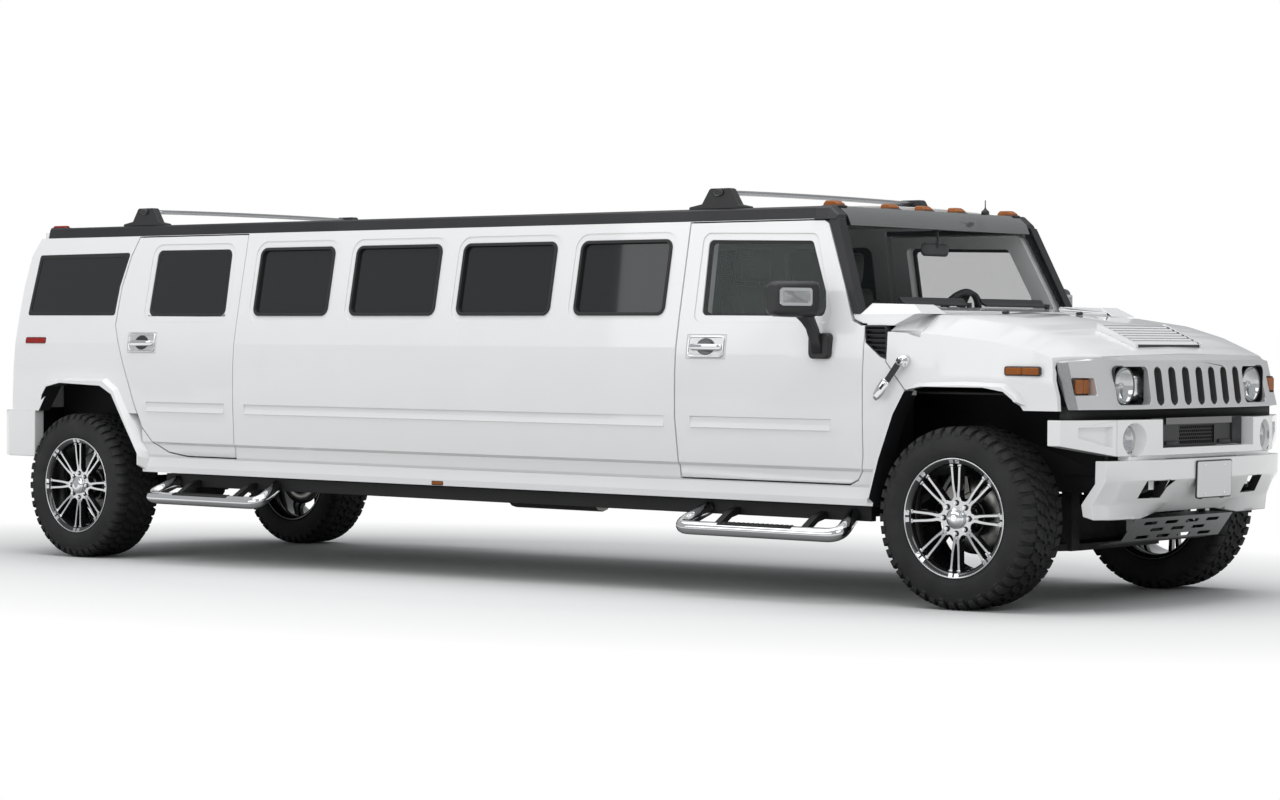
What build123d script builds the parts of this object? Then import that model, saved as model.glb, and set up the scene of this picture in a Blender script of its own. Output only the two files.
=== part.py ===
from build123d import *
import os
from math import atan2, cos, degrees, radians, sin

# A stretch limousine on the body of a big four-wheel-drive estate car.
# Millimetres. +X is forward, +Y is left, +Z is up. The origin is on the ground
# below the middle of the car. The body is modelled level and the whole car is
# tilted last, by the little that it stands lower at its nose.

os.makedirs("parts", exist_ok=True)

# ------------------------------------------------------------ driving dimensions
wheelbase = 6357
front_overhang = 784            # front axle to the front bumper's face
rear_overhang = 787             # rear axle to the rear bumper's face
track = 1763                    # between the wheels' middles
nose_down = 0.567               # degrees that the car stands lower at its nose
pivot_height = 700              # height of the line that the tilt leaves in place

tyre_radius = 430
tyre_width = 305
lip_radius = 283                # outer lip of the rim
bead_radius = 268               # where the tyre sits on the rim
disc_radius = 178
steer_axis_inset = 102          # steering axis inboard of the wheel's middle

wall = 86                       # thickness of doors and side walls
door_lip = 30                   # outer skin flange of a door
door_step = 26                  # how far a door's inner box is set in from its edge
panel_gap = 7                   # round each door, hood and tailgate
glass = 6                       # thickness of the panes
pane_depth = 14                 # panes below the wall's outer skin
recess_depth = 5                # pressed recess round each window
moulding_depth = 9              # undercut groove along the lower doors

floor_height = 600              # underside of the floor pan
floor_thickness = 24
rail_half_span = 400            # inner face of a frame rail from the middle
rail_width = 74
rail_middle_span = rail_half_span + rail_width / 2
rail_depth = 130
rail_height = 425               # underside of the rails between the axles
rail_rise = 150                 # kick-up of the rails over the axles
hood_skin = 28
roof_skin = 26
tailgate_thickness = 72

# --------------------------------------------------------------- derived places
overall_length = front_overhang + wheelbase + rear_overhang
nose_x = overall_length / 2
tail_x = -nose_x
front_axle_x = nose_x - front_overhang
rear_axle_x = tail_x + rear_overhang
half_track = track / 2
tilt = radians(nose_down)


def level_height(x, height):
    """Height in the level body of a point that the tilt brings to a height above ground."""
    return pivot_height + (height - pivot_height + x * sin(tilt)) / cos(tilt)


front_hub_z = level_height(front_axle_x, tyre_radius)
rear_hub_z = level_height(rear_axle_x, tyre_radius)


def front(points):
    """Side-view points given from the front axle, as (x, height)."""
    return [(front_axle_x + x, z) for x, z in points]


def rear(points):
    """Side-view points given from the rear axle, as (x, height)."""
    return [(rear_axle_x + x, z) for x, z in points]


def finish(builder, label):
    """Tilt a finished sub-part with the car, label it and write it."""
    builder.part = builder.part.rotate(Axis((0, 0, pivot_height), (0, 1, 0)), nose_down)
    builder.part.label = label
    export_step(builder.part, f"parts/{label}.step")


def face(points, plane=Plane.XZ, corner=0):
    """A face with straight edges through the points, all its corners rounded alike."""
    with BuildSketch(plane) as sketch:
        with BuildLine():
            Polyline(*points, close=True)
        make_face()
        if corner:
            fillet(sketch.vertices(), corner)
    return sketch.sketch


def grown(outline, amount):
    """A side-view face made larger, or smaller by a negative amount, with sharp corners."""
    return offset(outline, amount, kind=Kind.INTERSECTION)


def stepped_in(outline, amount):
    """A side-view face set in from its rear, top and bottom edges."""
    inset = outline
    for shift in ((amount, 0, 0), (0, 0, amount), (0, 0, -amount)):
        inset = inset & Pos(*shift) * outline
    return inset


# ------------------------------------------------------ side wall and its layers
# Section of the side wall's skin: height, half width.
side_section = [
    (498, 985),
    (530, 985),
    (585, 965),
    (600, 970),
    (660, 975),
    (675, 987),
    (900, 998),
    (1120, 1000),
    (1250, 992),
    (1410, 965),
    (1885, 875),
]
sill_height = side_section[0][0]
cant_height, cant_half_width = side_section[-1]


def half_width_at(height):
    """Half width of the wall's skin at a height."""
    for (z0, y0), (z1, y1) in zip(side_section, side_section[1:]):
        if height <= z1:
            return y0 + (y1 - y0) * (height - z0) / (z1 - z0)
    return cant_half_width


def wall_prism(outer_depth, inner_depth):
    """The right side wall between two depths below its skin, over the car's whole length."""
    skin = [(outer_depth - y, z) for z, y in side_section]
    inside = [(inner_depth - y, z) for z, y in reversed(side_section)]
    with BuildPart() as prism:
        with BuildSketch(Plane.YZ.offset(tail_x)):
            with BuildLine():
                Polyline(*skin, *inside, close=True)
            make_face()
        extrude(amount=overall_length)
    return prism.part


def skin_layer(outline, outer_depth, inner_depth):
    """The part of the right wall inside a side-view outline, between two depths."""
    with BuildPart() as layer:
        add(wall_prism(outer_depth, inner_depth))
        extrude(outline, amount=2 * cant_half_width, mode=Mode.INTERSECT)
    return layer.part


# ------------------------------------------------------------- side-view outlines
door_sill = 599
door_top = 1876
rear_door_hinge = 1356           # the rear door's front edge, from the rear axle
front_door_outline = face(front([
    (-1712, door_top), (-1714, 900), (-1690, door_sill), (-640, door_sill), (-590, 622),
    (-560, 668), (-551, 740), (-551, 1362), (-577, 1362), (-633, 1382), (-707, 1565),
    (-844, 1861), (-871, door_top),
]))
rear_door_outline = face(rear([
    (417, door_top), (364, 1766), (318, 1584), (308, 1356), (399, 1142), (502, 895),
    (565, 761), (658, 673), (781, 620), (943, door_sill), (rear_door_hinge, door_sill),
    (rear_door_hinge, door_top),
]))
front_pane_outline = face(front([
    (-1585, 1790), (-930, 1776), (-814, 1525), (-803, 1450), (-812, 1407), (-1574, 1412),
]), corner=26)
rear_pane_outline = face(rear([(590, 1797), (1236, 1795), (1249, 1410), (581, 1411)]), corner=40)
front_recess_outline = face(front([
    (-1619, 1826), (-905, 1812), (-747, 1375), (-1619, 1378),
]), corner=45)
rear_recess_outline = grown(rear_pane_outline, 34)
quarter_pane_outline = face(rear([(-486, 1783), (350, 1788), (298, 1590), (286, 1415), (-523, 1416)]), corner=18)

# The stretch runs between the doors. Its pillars have their own widths and the
# windows share what is left.
stretch_rear_x = rear_axle_x + 1346
stretch_front_x = front_axle_x - 1714
stretch_pillars = [141, 171, 160, 166, 105]         # from the rear door forward
window_shares = [0.2365, 0.2576, 0.2643, 0.2416]    # of the length left for glass
window_sill = 1411
window_top = 1800
window_corner = 48
glazed_length = stretch_front_x - stretch_rear_x - sum(stretch_pillars)
stretch_windows = []
window_x = stretch_rear_x
for pillar, share in zip(stretch_pillars, window_shares):
    window_x += pillar
    window_length = glazed_length * share
    stretch_windows.append((window_x, window_x + window_length))
    window_x += window_length


def window_face(x_rear, x_front, margin):
    """A stretch window's rounded outline, larger all round by a margin."""
    low = window_sill - margin
    high = window_top + margin
    points = [(x_rear - margin, low), (x_front + margin, low), (x_front + margin, high),
              (x_rear - margin, high)]
    return face(points, corner=window_corner + margin)


seal_width = 17
seal_proud = 4
seal_outlines = [window_face(a, b, 0) for a, b in stretch_windows]
pane_outlines = [window_face(a, b, -seal_width) for a, b in stretch_windows]
recess_outlines = [window_face(a, b, 36) for a, b in stretch_windows]

# Wheel arches: openings in side view, and the flares' outer lines round them.
front_arch = face(front([
    (-491, sill_height - 1), (-491, 506), (-427, 727), (-345, 942), (-275, 1059), (-181, 1075),
    (165, 1075), (278, 1057), (329, 1021), (368, 970), (368, sill_height - 1),
]))
front_flare_outline = front([
    (-543, sill_height), (-482, 740), (-402, 950), (-325, 1075), (-228, 1117), (50, 1125),
    (277, 1119), (367, 1068), (424, 970), (0, 970), (0, sill_height),
])
rear_arch = face(rear([
    (567, sill_height - 1), (567, 604), (437, 793), (333, 949), (229, 998), (-143, 1011),
    (-269, 986), (-342, 892), (-383, 838), (-383, sill_height - 1),
]))
rear_flare_outline = rear([
    (617, sill_height), (617, 604), (487, 820), (377, 1000), (263, 1067), (-123, 1067),
    (-303, 1035), (-398, 850), (-398, 838), (0, 838), (0, sill_height),
])
flare_middle = 900
flare_reach = 34                 # beyond the wall's skin
flare_inset = 43                 # its start inside the wall's skin
flare_half_width = half_width_at(flare_middle) + flare_reach
flare_root = half_width_at(flare_middle) - flare_inset
flare_taper = 28

# The hood and the fenders on it tip forward together. Seam in side view.
hood_rear = -268                 # the hood's rear edge across the middle
hood_outline = face(front([
    (-410, 1338), (-344, 1374), (hood_rear, 1408), (hood_rear, 1500), (640, 1500), (640, 971),
    (345, 971), (278, 1040), (-297, 1060), (-410, 1192),
]))

# Body side: what is left of the wall round the doors and arches.
tail_section = [(-632, 838), (-613, 1156), (-605, 1426), (-598, 1590), (-568, 1779),
                (-499, cant_height)]                # from the rear axle: x, height
body_outline = face(
    rear([(-383, 838)] + tail_section)
    + front([(-880, cant_height), (-880, 1800), (-660, 1355), (-544, 1355), (-540, 1280),
             (-451, 1213), (-416, 1200), (-291, 1056), (-291, 900), (-420, sill_height)])
    + rear([(567, sill_height), (567, 838)])
)
body_outline = body_outline - grown(front_door_outline, panel_gap)
body_outline = body_outline - grown(rear_door_outline, panel_gap)
body_outline = body_outline - front_arch - rear_arch - quarter_pane_outline
for window in seal_outlines:
    body_outline = body_outline - window


def flare(outline, arch):
    """A right wheel-arch flare: it tapers outward from the wall and is open at the arch."""
    with BuildPart() as lip:
        with BuildSketch(Plane.XZ.offset(flare_root)):
            with BuildLine():
                Polyline(*outline, close=True)
            make_face()
        extrude(amount=flare_half_width - flare_root, taper=flare_taper)
        extrude(arch, amount=2 * cant_half_width, mode=Mode.SUBTRACT)
    return lip.part


# ------------------------------------------------------------------- body sides
moulding_top = 907
moulding_low = 852


def moulding_cut(x_rear, x_front):
    """Undercut groove along the skin: deepest at its top edge, faired out below."""
    with BuildPart() as groove:
        with BuildSketch(Plane.YZ.offset(x_rear)):
            with BuildLine():
                Polyline(
                    (-half_width_at(moulding_top) + moulding_depth, moulding_top),
                    (-half_width_at(moulding_top) - 5, moulding_top),
                    (-half_width_at(moulding_low) - 5, moulding_low),
                    (-half_width_at(moulding_low), moulding_low),
                    close=True,
                )
            make_face()
        extrude(amount=x_front - x_rear)
    return groove.part


roof_edge_height = 1948
cant_rail_top = roof_edge_height - roof_skin
cant_rail_outer = 847
cant_rail_face = [
    (-cant_half_width + wall, cant_height), (-cant_rail_outer, cant_height),
    (-cant_rail_outer, cant_rail_top), (-cant_half_width + wall, cant_rail_top),
]
post_bottom = 845
post_inner = [(post_bottom, 815), (1410, 800), (cant_height, 725)]   # height, half width


def tail_slab(thickness):
    """A slab behind the cabin that follows the tail's slope, across the whole car."""
    skin = rear(tail_section)
    inside = [(x + thickness, z) for x, z in reversed(skin)]
    with BuildPart() as slab:
        with BuildSketch(Plane.XZ.offset(-cant_half_width * 1.2)):
            with BuildLine():
                Polyline(*skin, *inside, close=True)
            make_face()
        extrude(amount=2.4 * cant_half_width)
    return slab.part


wall_skin = skin_layer(body_outline, 0, wall)
recess_cuts = [skin_layer(outline, -5, recess_depth) for outline in recess_outlines]
front_flare_lip = flare(front_flare_outline, front_arch)
rear_flare_lip = flare(rear_flare_outline, rear_arch)
hood_prism = extrude(hood_outline, amount=2 * cant_half_width)
rear_door_cut = extrude(grown(rear_door_outline, panel_gap), amount=2 * cant_half_width)
front_door_cut = extrude(grown(front_door_outline, panel_gap), amount=2 * cant_half_width)
hood_cut = extrude(grown(hood_outline, panel_gap), amount=2 * cant_half_width)
post_points = [(-half_width_at(z) + wall - 12, z) for z in (post_bottom, 1120, 1410, cant_height)]
corner_post = tail_slab(90)

with BuildPart() as body_side_right:
    add(wall_skin)
    add(front_flare_lip - hood_cut)
    add(rear_flare_lip)
    add(hood_cut, mode=Mode.SUBTRACT)
    # Inner cant rail over the doors ties the panels together.
    with BuildSketch(Plane.YZ.offset(rear_axle_x - 499)):
        with BuildLine():
            Polyline(*cant_rail_face, close=True)
        make_face()
    extrude(amount=front_axle_x - 930 - (rear_axle_x - 499))
    for cut in recess_cuts:
        add(cut, mode=Mode.SUBTRACT)
    add(moulding_cut(stretch_rear_x + 105, stretch_front_x - 72), mode=Mode.SUBTRACT)
    add(front_door_cut, mode=Mode.SUBTRACT)
    add(rear_door_cut, mode=Mode.SUBTRACT)
    with BuildSketch(Plane.YZ.offset(tail_x)) as post_section:
        with BuildLine():
            Polyline(*post_points, *[(-y, z) for z, y in reversed(post_inner)], close=True)
        make_face()
    add(corner_post & extrude(post_section.sketch, amount=600, mode=Mode.PRIVATE))


with BuildPart() as body_side_left:
    mirror(body_side_right.part, about=Plane.XZ, mode=Mode.ADD)
pieces = {"body_side_right": body_side_right, "body_side_left": body_side_left}

# ------------------------------------------------------------------------ doors
# Front-hinged doors: skin flange over the full outline, box set in from its edge.
handle_height = 1256
door_table = [
    # name, outline, pane, recess, handle's middle x, moulding from, moulding to
    ("front_door", front_door_outline, front_pane_outline, front_recess_outline,
     front_axle_x - 1520, front_axle_x - 1618, front_axle_x - 737),
    ("rear_door", rear_door_outline, rear_pane_outline, rear_recess_outline,
     rear_axle_x + 564, rear_axle_x + 607, rear_axle_x + 1283),
]
handle_length = 236
handle_depth = 112
handle_proud = 34


def door_handle(x):
    """Grab handle over a dished escutcheon, proud of the skin at the handle's height."""
    skin_y = -half_width_at(handle_height)
    with BuildPart() as handle:
        with BuildSketch(Plane.XZ.offset(-skin_y - 4)):
            with Locations((x, handle_height)):
                RectangleRounded(handle_length, handle_depth, 20)
        extrude(amount=12)
        with BuildSketch(Plane.XZ.offset(-skin_y + 8)):
            with Locations((x, handle_height)):
                RectangleRounded(handle_length - 24, 34, 12)
        extrude(amount=handle_proud - 8)
        with BuildSketch(Plane.XZ.offset(-skin_y + 8)):
            with Locations((x, handle_height)):
                Rectangle(handle_length - 84, 60)
        extrude(amount=handle_proud - 20, mode=Mode.SUBTRACT)
    return handle.part


for name, outline, pane, recess, handle_x, groove_rear, groove_front in door_table:
    door_skin = skin_layer(outline, 0, door_lip)
    door_box = skin_layer(stepped_in(outline, door_step), door_lip, wall)
    window_cut = extrude(pane, amount=2 * cant_half_width)
    recess_cut = skin_layer(recess, -5, recess_depth)
    handle = door_handle(handle_x)
    groove = moulding_cut(groove_rear, groove_front)
    with BuildPart() as door:
        add(door_skin)
        add(door_box)
        add(recess_cut, mode=Mode.SUBTRACT)
        add(window_cut, mode=Mode.SUBTRACT)
        add(groove, mode=Mode.SUBTRACT)
        add(handle)
    with BuildPart() as door_glass:
        add(skin_layer(pane, pane_depth, pane_depth + glass))
    with BuildPart() as left_door:
        mirror(door.part, about=Plane.XZ, mode=Mode.ADD)
    with BuildPart() as left_door_glass:
        mirror(door_glass.part, about=Plane.XZ, mode=Mode.ADD)
    pieces[f"{name}_right"] = door
    pieces[f"{name}_left"] = left_door
    pieces[f"{name}_glass_right"] = door_glass
    pieces[f"{name}_glass_left"] = left_door_glass

# ---------------------------------------------------------------- fixed windows
quarter_pane = skin_layer(quarter_pane_outline, 2, 2 + glass)
stretch_panes = [skin_layer(outline, pane_depth, pane_depth + glass) for outline in pane_outlines]
seal_depth = 40
stretch_seals = [
    skin_layer(outer - inner, -seal_proud, seal_depth)
    for outer, inner in zip(seal_outlines, pane_outlines)
]
with BuildPart() as side_windows:
    add([quarter_pane] + stretch_panes)
    mirror(side_windows.part, about=Plane.XZ, mode=Mode.ADD)
with BuildPart() as window_seals:
    add(stretch_seals)
    mirror(window_seals.part, about=Plane.XZ, mode=Mode.ADD)
pieces["side_windows"] = side_windows
pieces["window_seals"] = window_seals

# -------------------------------------------------- roof, its edges and the front
# Windscreen line in side view: top and bottom of the frame's front face.
screen_top = (front_axle_x - 796, 1902)
screen_base = (front_axle_x - 590, 1418)
roof_crown = 22
roof_half_width = 800
pillar_depth = 62
screen_slope = (screen_base[0] - screen_top[0]) / (screen_top[1] - screen_base[1])


def screen_x(height):
    """Front face of the windscreen frame at a height."""
    return screen_top[0] + (screen_top[1] - height) * screen_slope


trim_section = [
    (-cant_half_width, cant_height), (-862, roof_edge_height - 8), (-850, roof_edge_height),
    (-roof_half_width, roof_edge_height), (-roof_half_width, cant_rail_top),
    (-cant_rail_outer, cant_rail_top), (-cant_rail_outer, cant_height),
]
pillar_outline = face([
    screen_top, screen_base, (front_axle_x - 633, 1418), (front_axle_x - 700, 1565),
    (front_axle_x - 837, 1861), (front_axle_x - 846, 1885), (front_axle_x - 880, 1885),
    (front_axle_x - 880, 1902),
])
header_section = [
    screen_top, (front_axle_x - 850, roof_edge_height), (front_axle_x - 930, roof_edge_height),
    (front_axle_x - 930, 1892), (front_axle_x - 815, 1852), (screen_x(1852), 1852),
]
tail_header_section = rear([
    (-499, cant_height), (-440, roof_edge_height), (-350, roof_edge_height), (-350, 1905),
    (-420, cant_height),
])
header_half_width = cant_half_width - wall
pillar_post = skin_layer(pillar_outline, 0, pillar_depth)
# The pillars lean in past the top of the wall, so their top is closed off here.
with BuildPart() as roof_edges:
    with BuildSketch(Plane.YZ.offset(rear_axle_x - 440)):
        with BuildLine():
            Polyline(*trim_section, close=True)
        make_face()
    extrude(amount=front_axle_x - 850 - (rear_axle_x - 440))
    add(pillar_post)
    mirror(roof_edges.part, about=Plane.XZ, mode=Mode.ADD)
    for section in (header_section, tail_header_section):
        with BuildSketch(Plane.XZ.offset(-header_half_width)):
            with BuildLine():
                Polyline(*section, close=True)
            make_face()
        extrude(amount=2 * header_half_width)
pieces["roof_edges"] = roof_edges

with BuildPart() as roof_panel:
    with BuildSketch(Plane.YZ.offset(rear_axle_x - 350)):
        with BuildLine():
            ThreePointArc(
                (-roof_half_width, roof_edge_height),
                (0, roof_edge_height + roof_crown),
                (roof_half_width, roof_edge_height),
            )
            Polyline(
                (roof_half_width, roof_edge_height),
                (roof_half_width, roof_edge_height - roof_skin),
                (-roof_half_width, roof_edge_height - roof_skin),
                (-roof_half_width, roof_edge_height),
            )
        make_face()
    extrude(amount=front_axle_x - 930 - (rear_axle_x - 350))
pieces["roof_panel"] = roof_panel

glass_inset = 12
with BuildPart() as windscreen:
    with BuildSketch(Plane.XZ.offset(-cant_half_width)):
        with BuildLine():
            Polyline(
                (screen_x(1852) - glass_inset, 1852),
                (screen_x(1418) - glass_inset, 1418),
                (screen_x(1418) - glass_inset - glass, 1418),
                (screen_x(1852) - glass_inset - glass, 1852),
                close=True,
            )
        make_face()
    extrude(amount=2 * cant_half_width)
    cabin_points = [(pillar_depth - half_width_at(z), z) for z in (1250, 1410, cant_height)]
    cabin_mirror = [(-y, z) for y, z in reversed(cabin_points)]
    with BuildSketch(Plane.YZ.offset(front_axle_x - 1000)):
        with BuildLine():
            Polyline(*cabin_points, *cabin_mirror, close=True)
        make_face()
    extrude(amount=900, mode=Mode.INTERSECT)
pieces["windscreen"] = windscreen

# ------------------------------------------------------------------------- hood
# Sections of the hood's skin, by distance from the front axle: middle height,
# upper crease (half width, height), lower crease (half width, height), side half width.
hood_sections = [
    (-415, 1450, 822, 1425, 985, 1330, 1000),
    (-275, 1437, 815, 1414, 978, 1326, 1000),
    (-118, 1427, 800, 1408, 975, 1319, 1000),
    (183, 1385, 775, 1369, 970, 1288, 1000),
    (320, 1361, 764, 1333, 965, 1263, 998),
    (401, 1326, 757, 1311, 962, 1246, 995),
    (537, 1267, 745, 1257, 955, 1201, 990),
    (622, 1236, 728, 1223, 940, 1172, 975),
]
hood_low = 940
hood_side_height = 1120


def hood_section(row, inset):
    """One cross-section of the hood, or of its inner face when inset by the skin."""
    x, z_mid, y_a, z_a, y_b, z_b, y_side = row
    half = [
        (y_side - inset, hood_low - inset),
        (y_side - inset, hood_side_height - inset / 3),
        (y_b - inset * 0.9, z_b - inset * 0.6),
        (y_a - inset * 0.3, z_a - inset),
    ]
    points = [(-y, z) for y, z in half] + [(0, z_mid - inset)] + list(reversed(half))
    with BuildSketch(Plane.YZ.offset(front_axle_x + x)) as section:
        with BuildLine():
            Polyline(*points, close=True)
        make_face()
    return section.sketch


hood_outer = loft([hood_section(row, 0) for row in hood_sections], ruled=True)
hood_inner = loft([hood_section(row, hood_skin) for row in hood_sections], ruled=True)

# ------------------------------------------------------------------ cowl and vents
cowl_top = 1470
cowl_nose = -232
cowl_box = front([
    (-634, 1418), (-622, 1394), (-570, 1373), (-543, 1371), (-543, 1362), (-384, 1362),
    (-274, 1416), (cowl_nose, 1418), (-310, 1464), (-560, cowl_top), (-590, 1418),
])
cowl_bridge = front([
    (-620, 1360), (-600, 1418), (-588, 1444), (-570, cowl_top - 12), (-276, 1436), (-276, 1410),
    (-340, 1395), (-580, 1360),
])
cowl_box_inner = 745
cowl_box_outer = 972
cowl_shoulder = front([(-400, 1338), (cowl_nose, 1338), (cowl_nose, 1430), (-400, 1430)])
cowl_box_section = [
    (-cowl_box_outer, 1360), (-958, 1418), (-905, cowl_top + 1), (-cowl_box_inner, cowl_top + 1),
    (-cowl_box_inner, 1360),
]
with BuildPart() as cowl:
    with BuildSketch(Plane.XZ.offset(cowl_box_inner)):
        with BuildLine():
            Polyline(*cowl_box, close=True)
        make_face()
    extrude(amount=300)
    with BuildSketch(Plane.YZ.offset(front_axle_x - 700)):
        with BuildLine():
            Polyline(*cowl_box_section, close=True)
        make_face()
    extrude(amount=600, mode=Mode.INTERSECT)
    # Shoulder under the box's nose, flush with the hood that swings up past it.
    with BuildSketch(Plane.XZ.offset(cowl_box_inner)):
        with BuildLine():
            Polyline(*cowl_shoulder, close=True)
        make_face()
    add(extrude(amount=cowl_box_outer - cowl_box_inner, mode=Mode.PRIVATE) & hood_outer)
    mirror(cowl.part, about=Plane.XZ, mode=Mode.ADD)
    with BuildSketch(Plane.XZ.offset(-cowl_box_inner)):
        with BuildLine():
            Polyline(*cowl_bridge, close=True)
        make_face()
    extrude(amount=2 * cowl_box_inner)
    # Rubber stops under the hood's rear edge.
    with Locations((front_axle_x - 270, -150, 1388), (front_axle_x - 270, 150, 1388)):
        Box(60, 60, 27.2)
pieces["cowl"] = cowl

vent_outline = front([
    (-544, 1360), (-424, 1360), (-417, 1340), (-417, 1206), (-451, 1214), (-540, 1281),
])
vent_slats = 6
vent_pitch = 24
vent_half_width = 992
vent_backing = [(-vent_half_width, 1204), (-half_width_at(1360) - 6, 1361)]
with BuildPart() as cowl_vents:
    # Backing plate behind the louvres, framed by the fender.
    with BuildSketch(Plane.XZ.offset(940)):
        with BuildLine():
            Polyline(*vent_outline, close=True)
        make_face()
    extrude(amount=26)
    with BuildSketch(Plane.XZ.offset(966)):
        with Locations(*[(front_axle_x - 480, 1346 - vent_pitch * i) for i in range(vent_slats)]):
            Rectangle(124, 11)
    extrude(amount=20)
    extrude(face(vent_outline), amount=1100, mode=Mode.INTERSECT)
    mirror(cowl_vents.part, about=Plane.XZ, mode=Mode.ADD)
pieces["cowl_vents"] = cowl_vents

# The hood's skin is cut clear of the boxes at its rear corners.
hood_nose_plan = [(625, -728), (498, -949), (800, -949), (800, -728)]
hood_nose_side = [(498, 1400), (498, 1212), (545, 1034), (555, 900), (800, 900), (800, 1400)]
with BuildPart() as hood:
    add(hood_outer)
    add(front_flare_lip)
    add(hood_inner, mode=Mode.SUBTRACT)
    extrude(hood_outline, amount=1200, both=True, mode=Mode.INTERSECT)
    extrude(front_arch, amount=1200, both=True, mode=Mode.SUBTRACT)
    with BuildSketch(Plane.XY.offset(900)):
        with Locations((front_axle_x + cowl_nose - 100, -(cowl_box_inner + cowl_box_outer) / 2)):
            Rectangle(200 + 2 * panel_gap, cowl_box_outer - cowl_box_inner + 2 * panel_gap)
        with Locations((front_axle_x + hood_rear - 100, -cowl_box_inner / 2)):
            Rectangle(200, cowl_box_inner)
    extrude(amount=600, mode=Mode.SUBTRACT)
    with BuildSketch(Plane.XY.offset(900)):
        with BuildLine():
            Polyline(*[(front_axle_x + x, y) for x, y in hood_nose_plan], close=True)
        make_face()
    extrude(amount=600, mode=Mode.SUBTRACT)
    with BuildSketch(Plane.XZ.offset(948)):
        with BuildLine():
            Polyline(*front(hood_nose_side), close=True)
        make_face()
    extrude(amount=200, mode=Mode.SUBTRACT)
    split(bisect_by=Plane.XZ, keep=Keep.TOP)
    mirror(hood.part, about=Plane.XZ, mode=Mode.ADD)
pieces["hood"] = hood

# Louvred panel let into the hood, and the rubber hold-downs at its rear corners.
louvre_rows = 7
louvre_slope = (1361 - 1266) / 217
with BuildPart() as hood_vent:
    for row in range(louvre_rows):
        x = front_axle_x + 345 + 27 * row
        z = 1353 - 27 * row * louvre_slope
        with BuildSketch(Plane.XZ.offset(-290)):
            with BuildLine():
                Polyline((x, z + 16), (x + 31, z - 4), (x + 31, z - 28), (x, z - 12), close=True)
            make_face()
        extrude(amount=580)
    for side in (-1, 1):
        with BuildSketch(Plane.XZ.offset(side * 301 - 12)):
            with BuildLine():
                Polyline(*front([(330, 1378), (545, 1282), (545, 1246), (330, 1332)]), close=True)
            make_face()
        extrude(amount=24)
    add(hood_outer, mode=Mode.SUBTRACT)
pieces["hood_vent"] = hood_vent

latch_top = (front_axle_x - 303, 1193)
latch_low = (front_axle_x - 436, 1027)
latch_run = Vector(latch_top[0] - latch_low[0], latch_top[1] - latch_low[1])
latch_middle = ((latch_top[0] + latch_low[0]) / 2, (latch_top[1] + latch_low[1]) / 2)
latch_lean = degrees(atan2(latch_run.Y, latch_run.X))
latch_seat = flare_half_width - 47
with BuildPart() as hood_latches:
    with BuildSketch(Plane.XZ.offset(latch_seat)):
        with Locations(latch_top):
            Circle(31)
    extrude(amount=16)
    with BuildSketch(Plane.XZ.offset(latch_seat + 10)):
        with Locations(latch_top):
            Circle(20)
    extrude(amount=flare_half_width + 10 - latch_seat)
    with BuildSketch(Plane.XZ.offset(flare_half_width + 6)):
        with Locations(latch_middle):
            SlotCenterToCenter(latch_run.length, 30, rotation=latch_lean)
    extrude(amount=14)
    add(hood_outer, mode=Mode.SUBTRACT)
    mirror(hood_latches.part, about=Plane.XZ, mode=Mode.ADD)
pieces["hood_latches"] = hood_latches

with BuildPart() as hood_lamps:
    with BuildSketch(Plane.XZ.offset(980)):
        with Locations((front_axle_x + 364, 1153)):
            RectangleRounded(196, 44, 15)
    extrude(amount=30)
    add(hood_outer, mode=Mode.SUBTRACT)
    mirror(hood_lamps.part, about=Plane.XZ, mode=Mode.ADD)
pieces["hood_lamps"] = hood_lamps

# --------------------------------------------------------------- grille surround
# Sections of the surround across the car: half span, x from the front axle of the
# face's lower and upper edges and of the lip's rear edge, the lip's height, thickness.
surround_sections = [
    (942, 586, 529, 513, 1198, 12),
    (921, 615, 558, 528, 1202, 28),
    (798, 657, 602, 593, 1212, 42),
    (728, 686, 630, 632, 1220, 42),
    (562, 708, 670, 633, 1226, 42),
    (375, 720, 688, 634, 1229, 42),
    (0, 728, 698, 634, 1233, 42),
]
surround_low = 977
surround_high = 1204
surround_lip = 22
surround_shelf = 1108


def surround_section(y, row):
    """Side-view section of the grille surround at a distance from the middle."""
    span, x_low, x_high, x_lip, z_lip, skin = row
    x_rear = min(x_lip, x_high - 2)
    points = front([
        (x_low, surround_low), (x_high, min(surround_high, z_lip - 4)), (x_rear, z_lip),
        (x_rear - 0.5, z_lip - surround_lip), (x_high - skin, surround_shelf),
        (x_low - skin, surround_low),
    ])
    return face(points, Plane.XZ.offset(-y))


surround_faces = [surround_section(-row[0], row) for row in surround_sections]
surround_faces += [surround_section(row[0], row) for row in reversed(surround_sections[:-1])]
slot_pitch = 120
slot_width = 60
slot_height = 181
slot_middle = 1084
lamp_middle_y = 562
lamp_bezel = (253, 178)
turn_middle_y = 858
turn_size = (124, 80)
with BuildPart() as grille_surround:
    loft(surround_faces, ruled=True)
    with BuildSketch(Plane.YZ.offset(front_axle_x + 500)):
        with Locations(*[(slot_pitch * i, slot_middle) for i in range(-3, 4)]):
            SlotOverall(slot_height, slot_width, rotation=90)
        with Locations((-lamp_middle_y, 1086), (lamp_middle_y, 1086)):
            RectangleRounded(*lamp_bezel, 30)
        with Locations((-turn_middle_y, 1083), (turn_middle_y, 1083)):
            RectangleRounded(*turn_size, 10)
    extrude(amount=400, mode=Mode.SUBTRACT)
pieces["grille_surround"] = grille_surround

fog_y = 608
fog_z = 837
fog_radius = 66
fit_gap = 0.3
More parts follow.
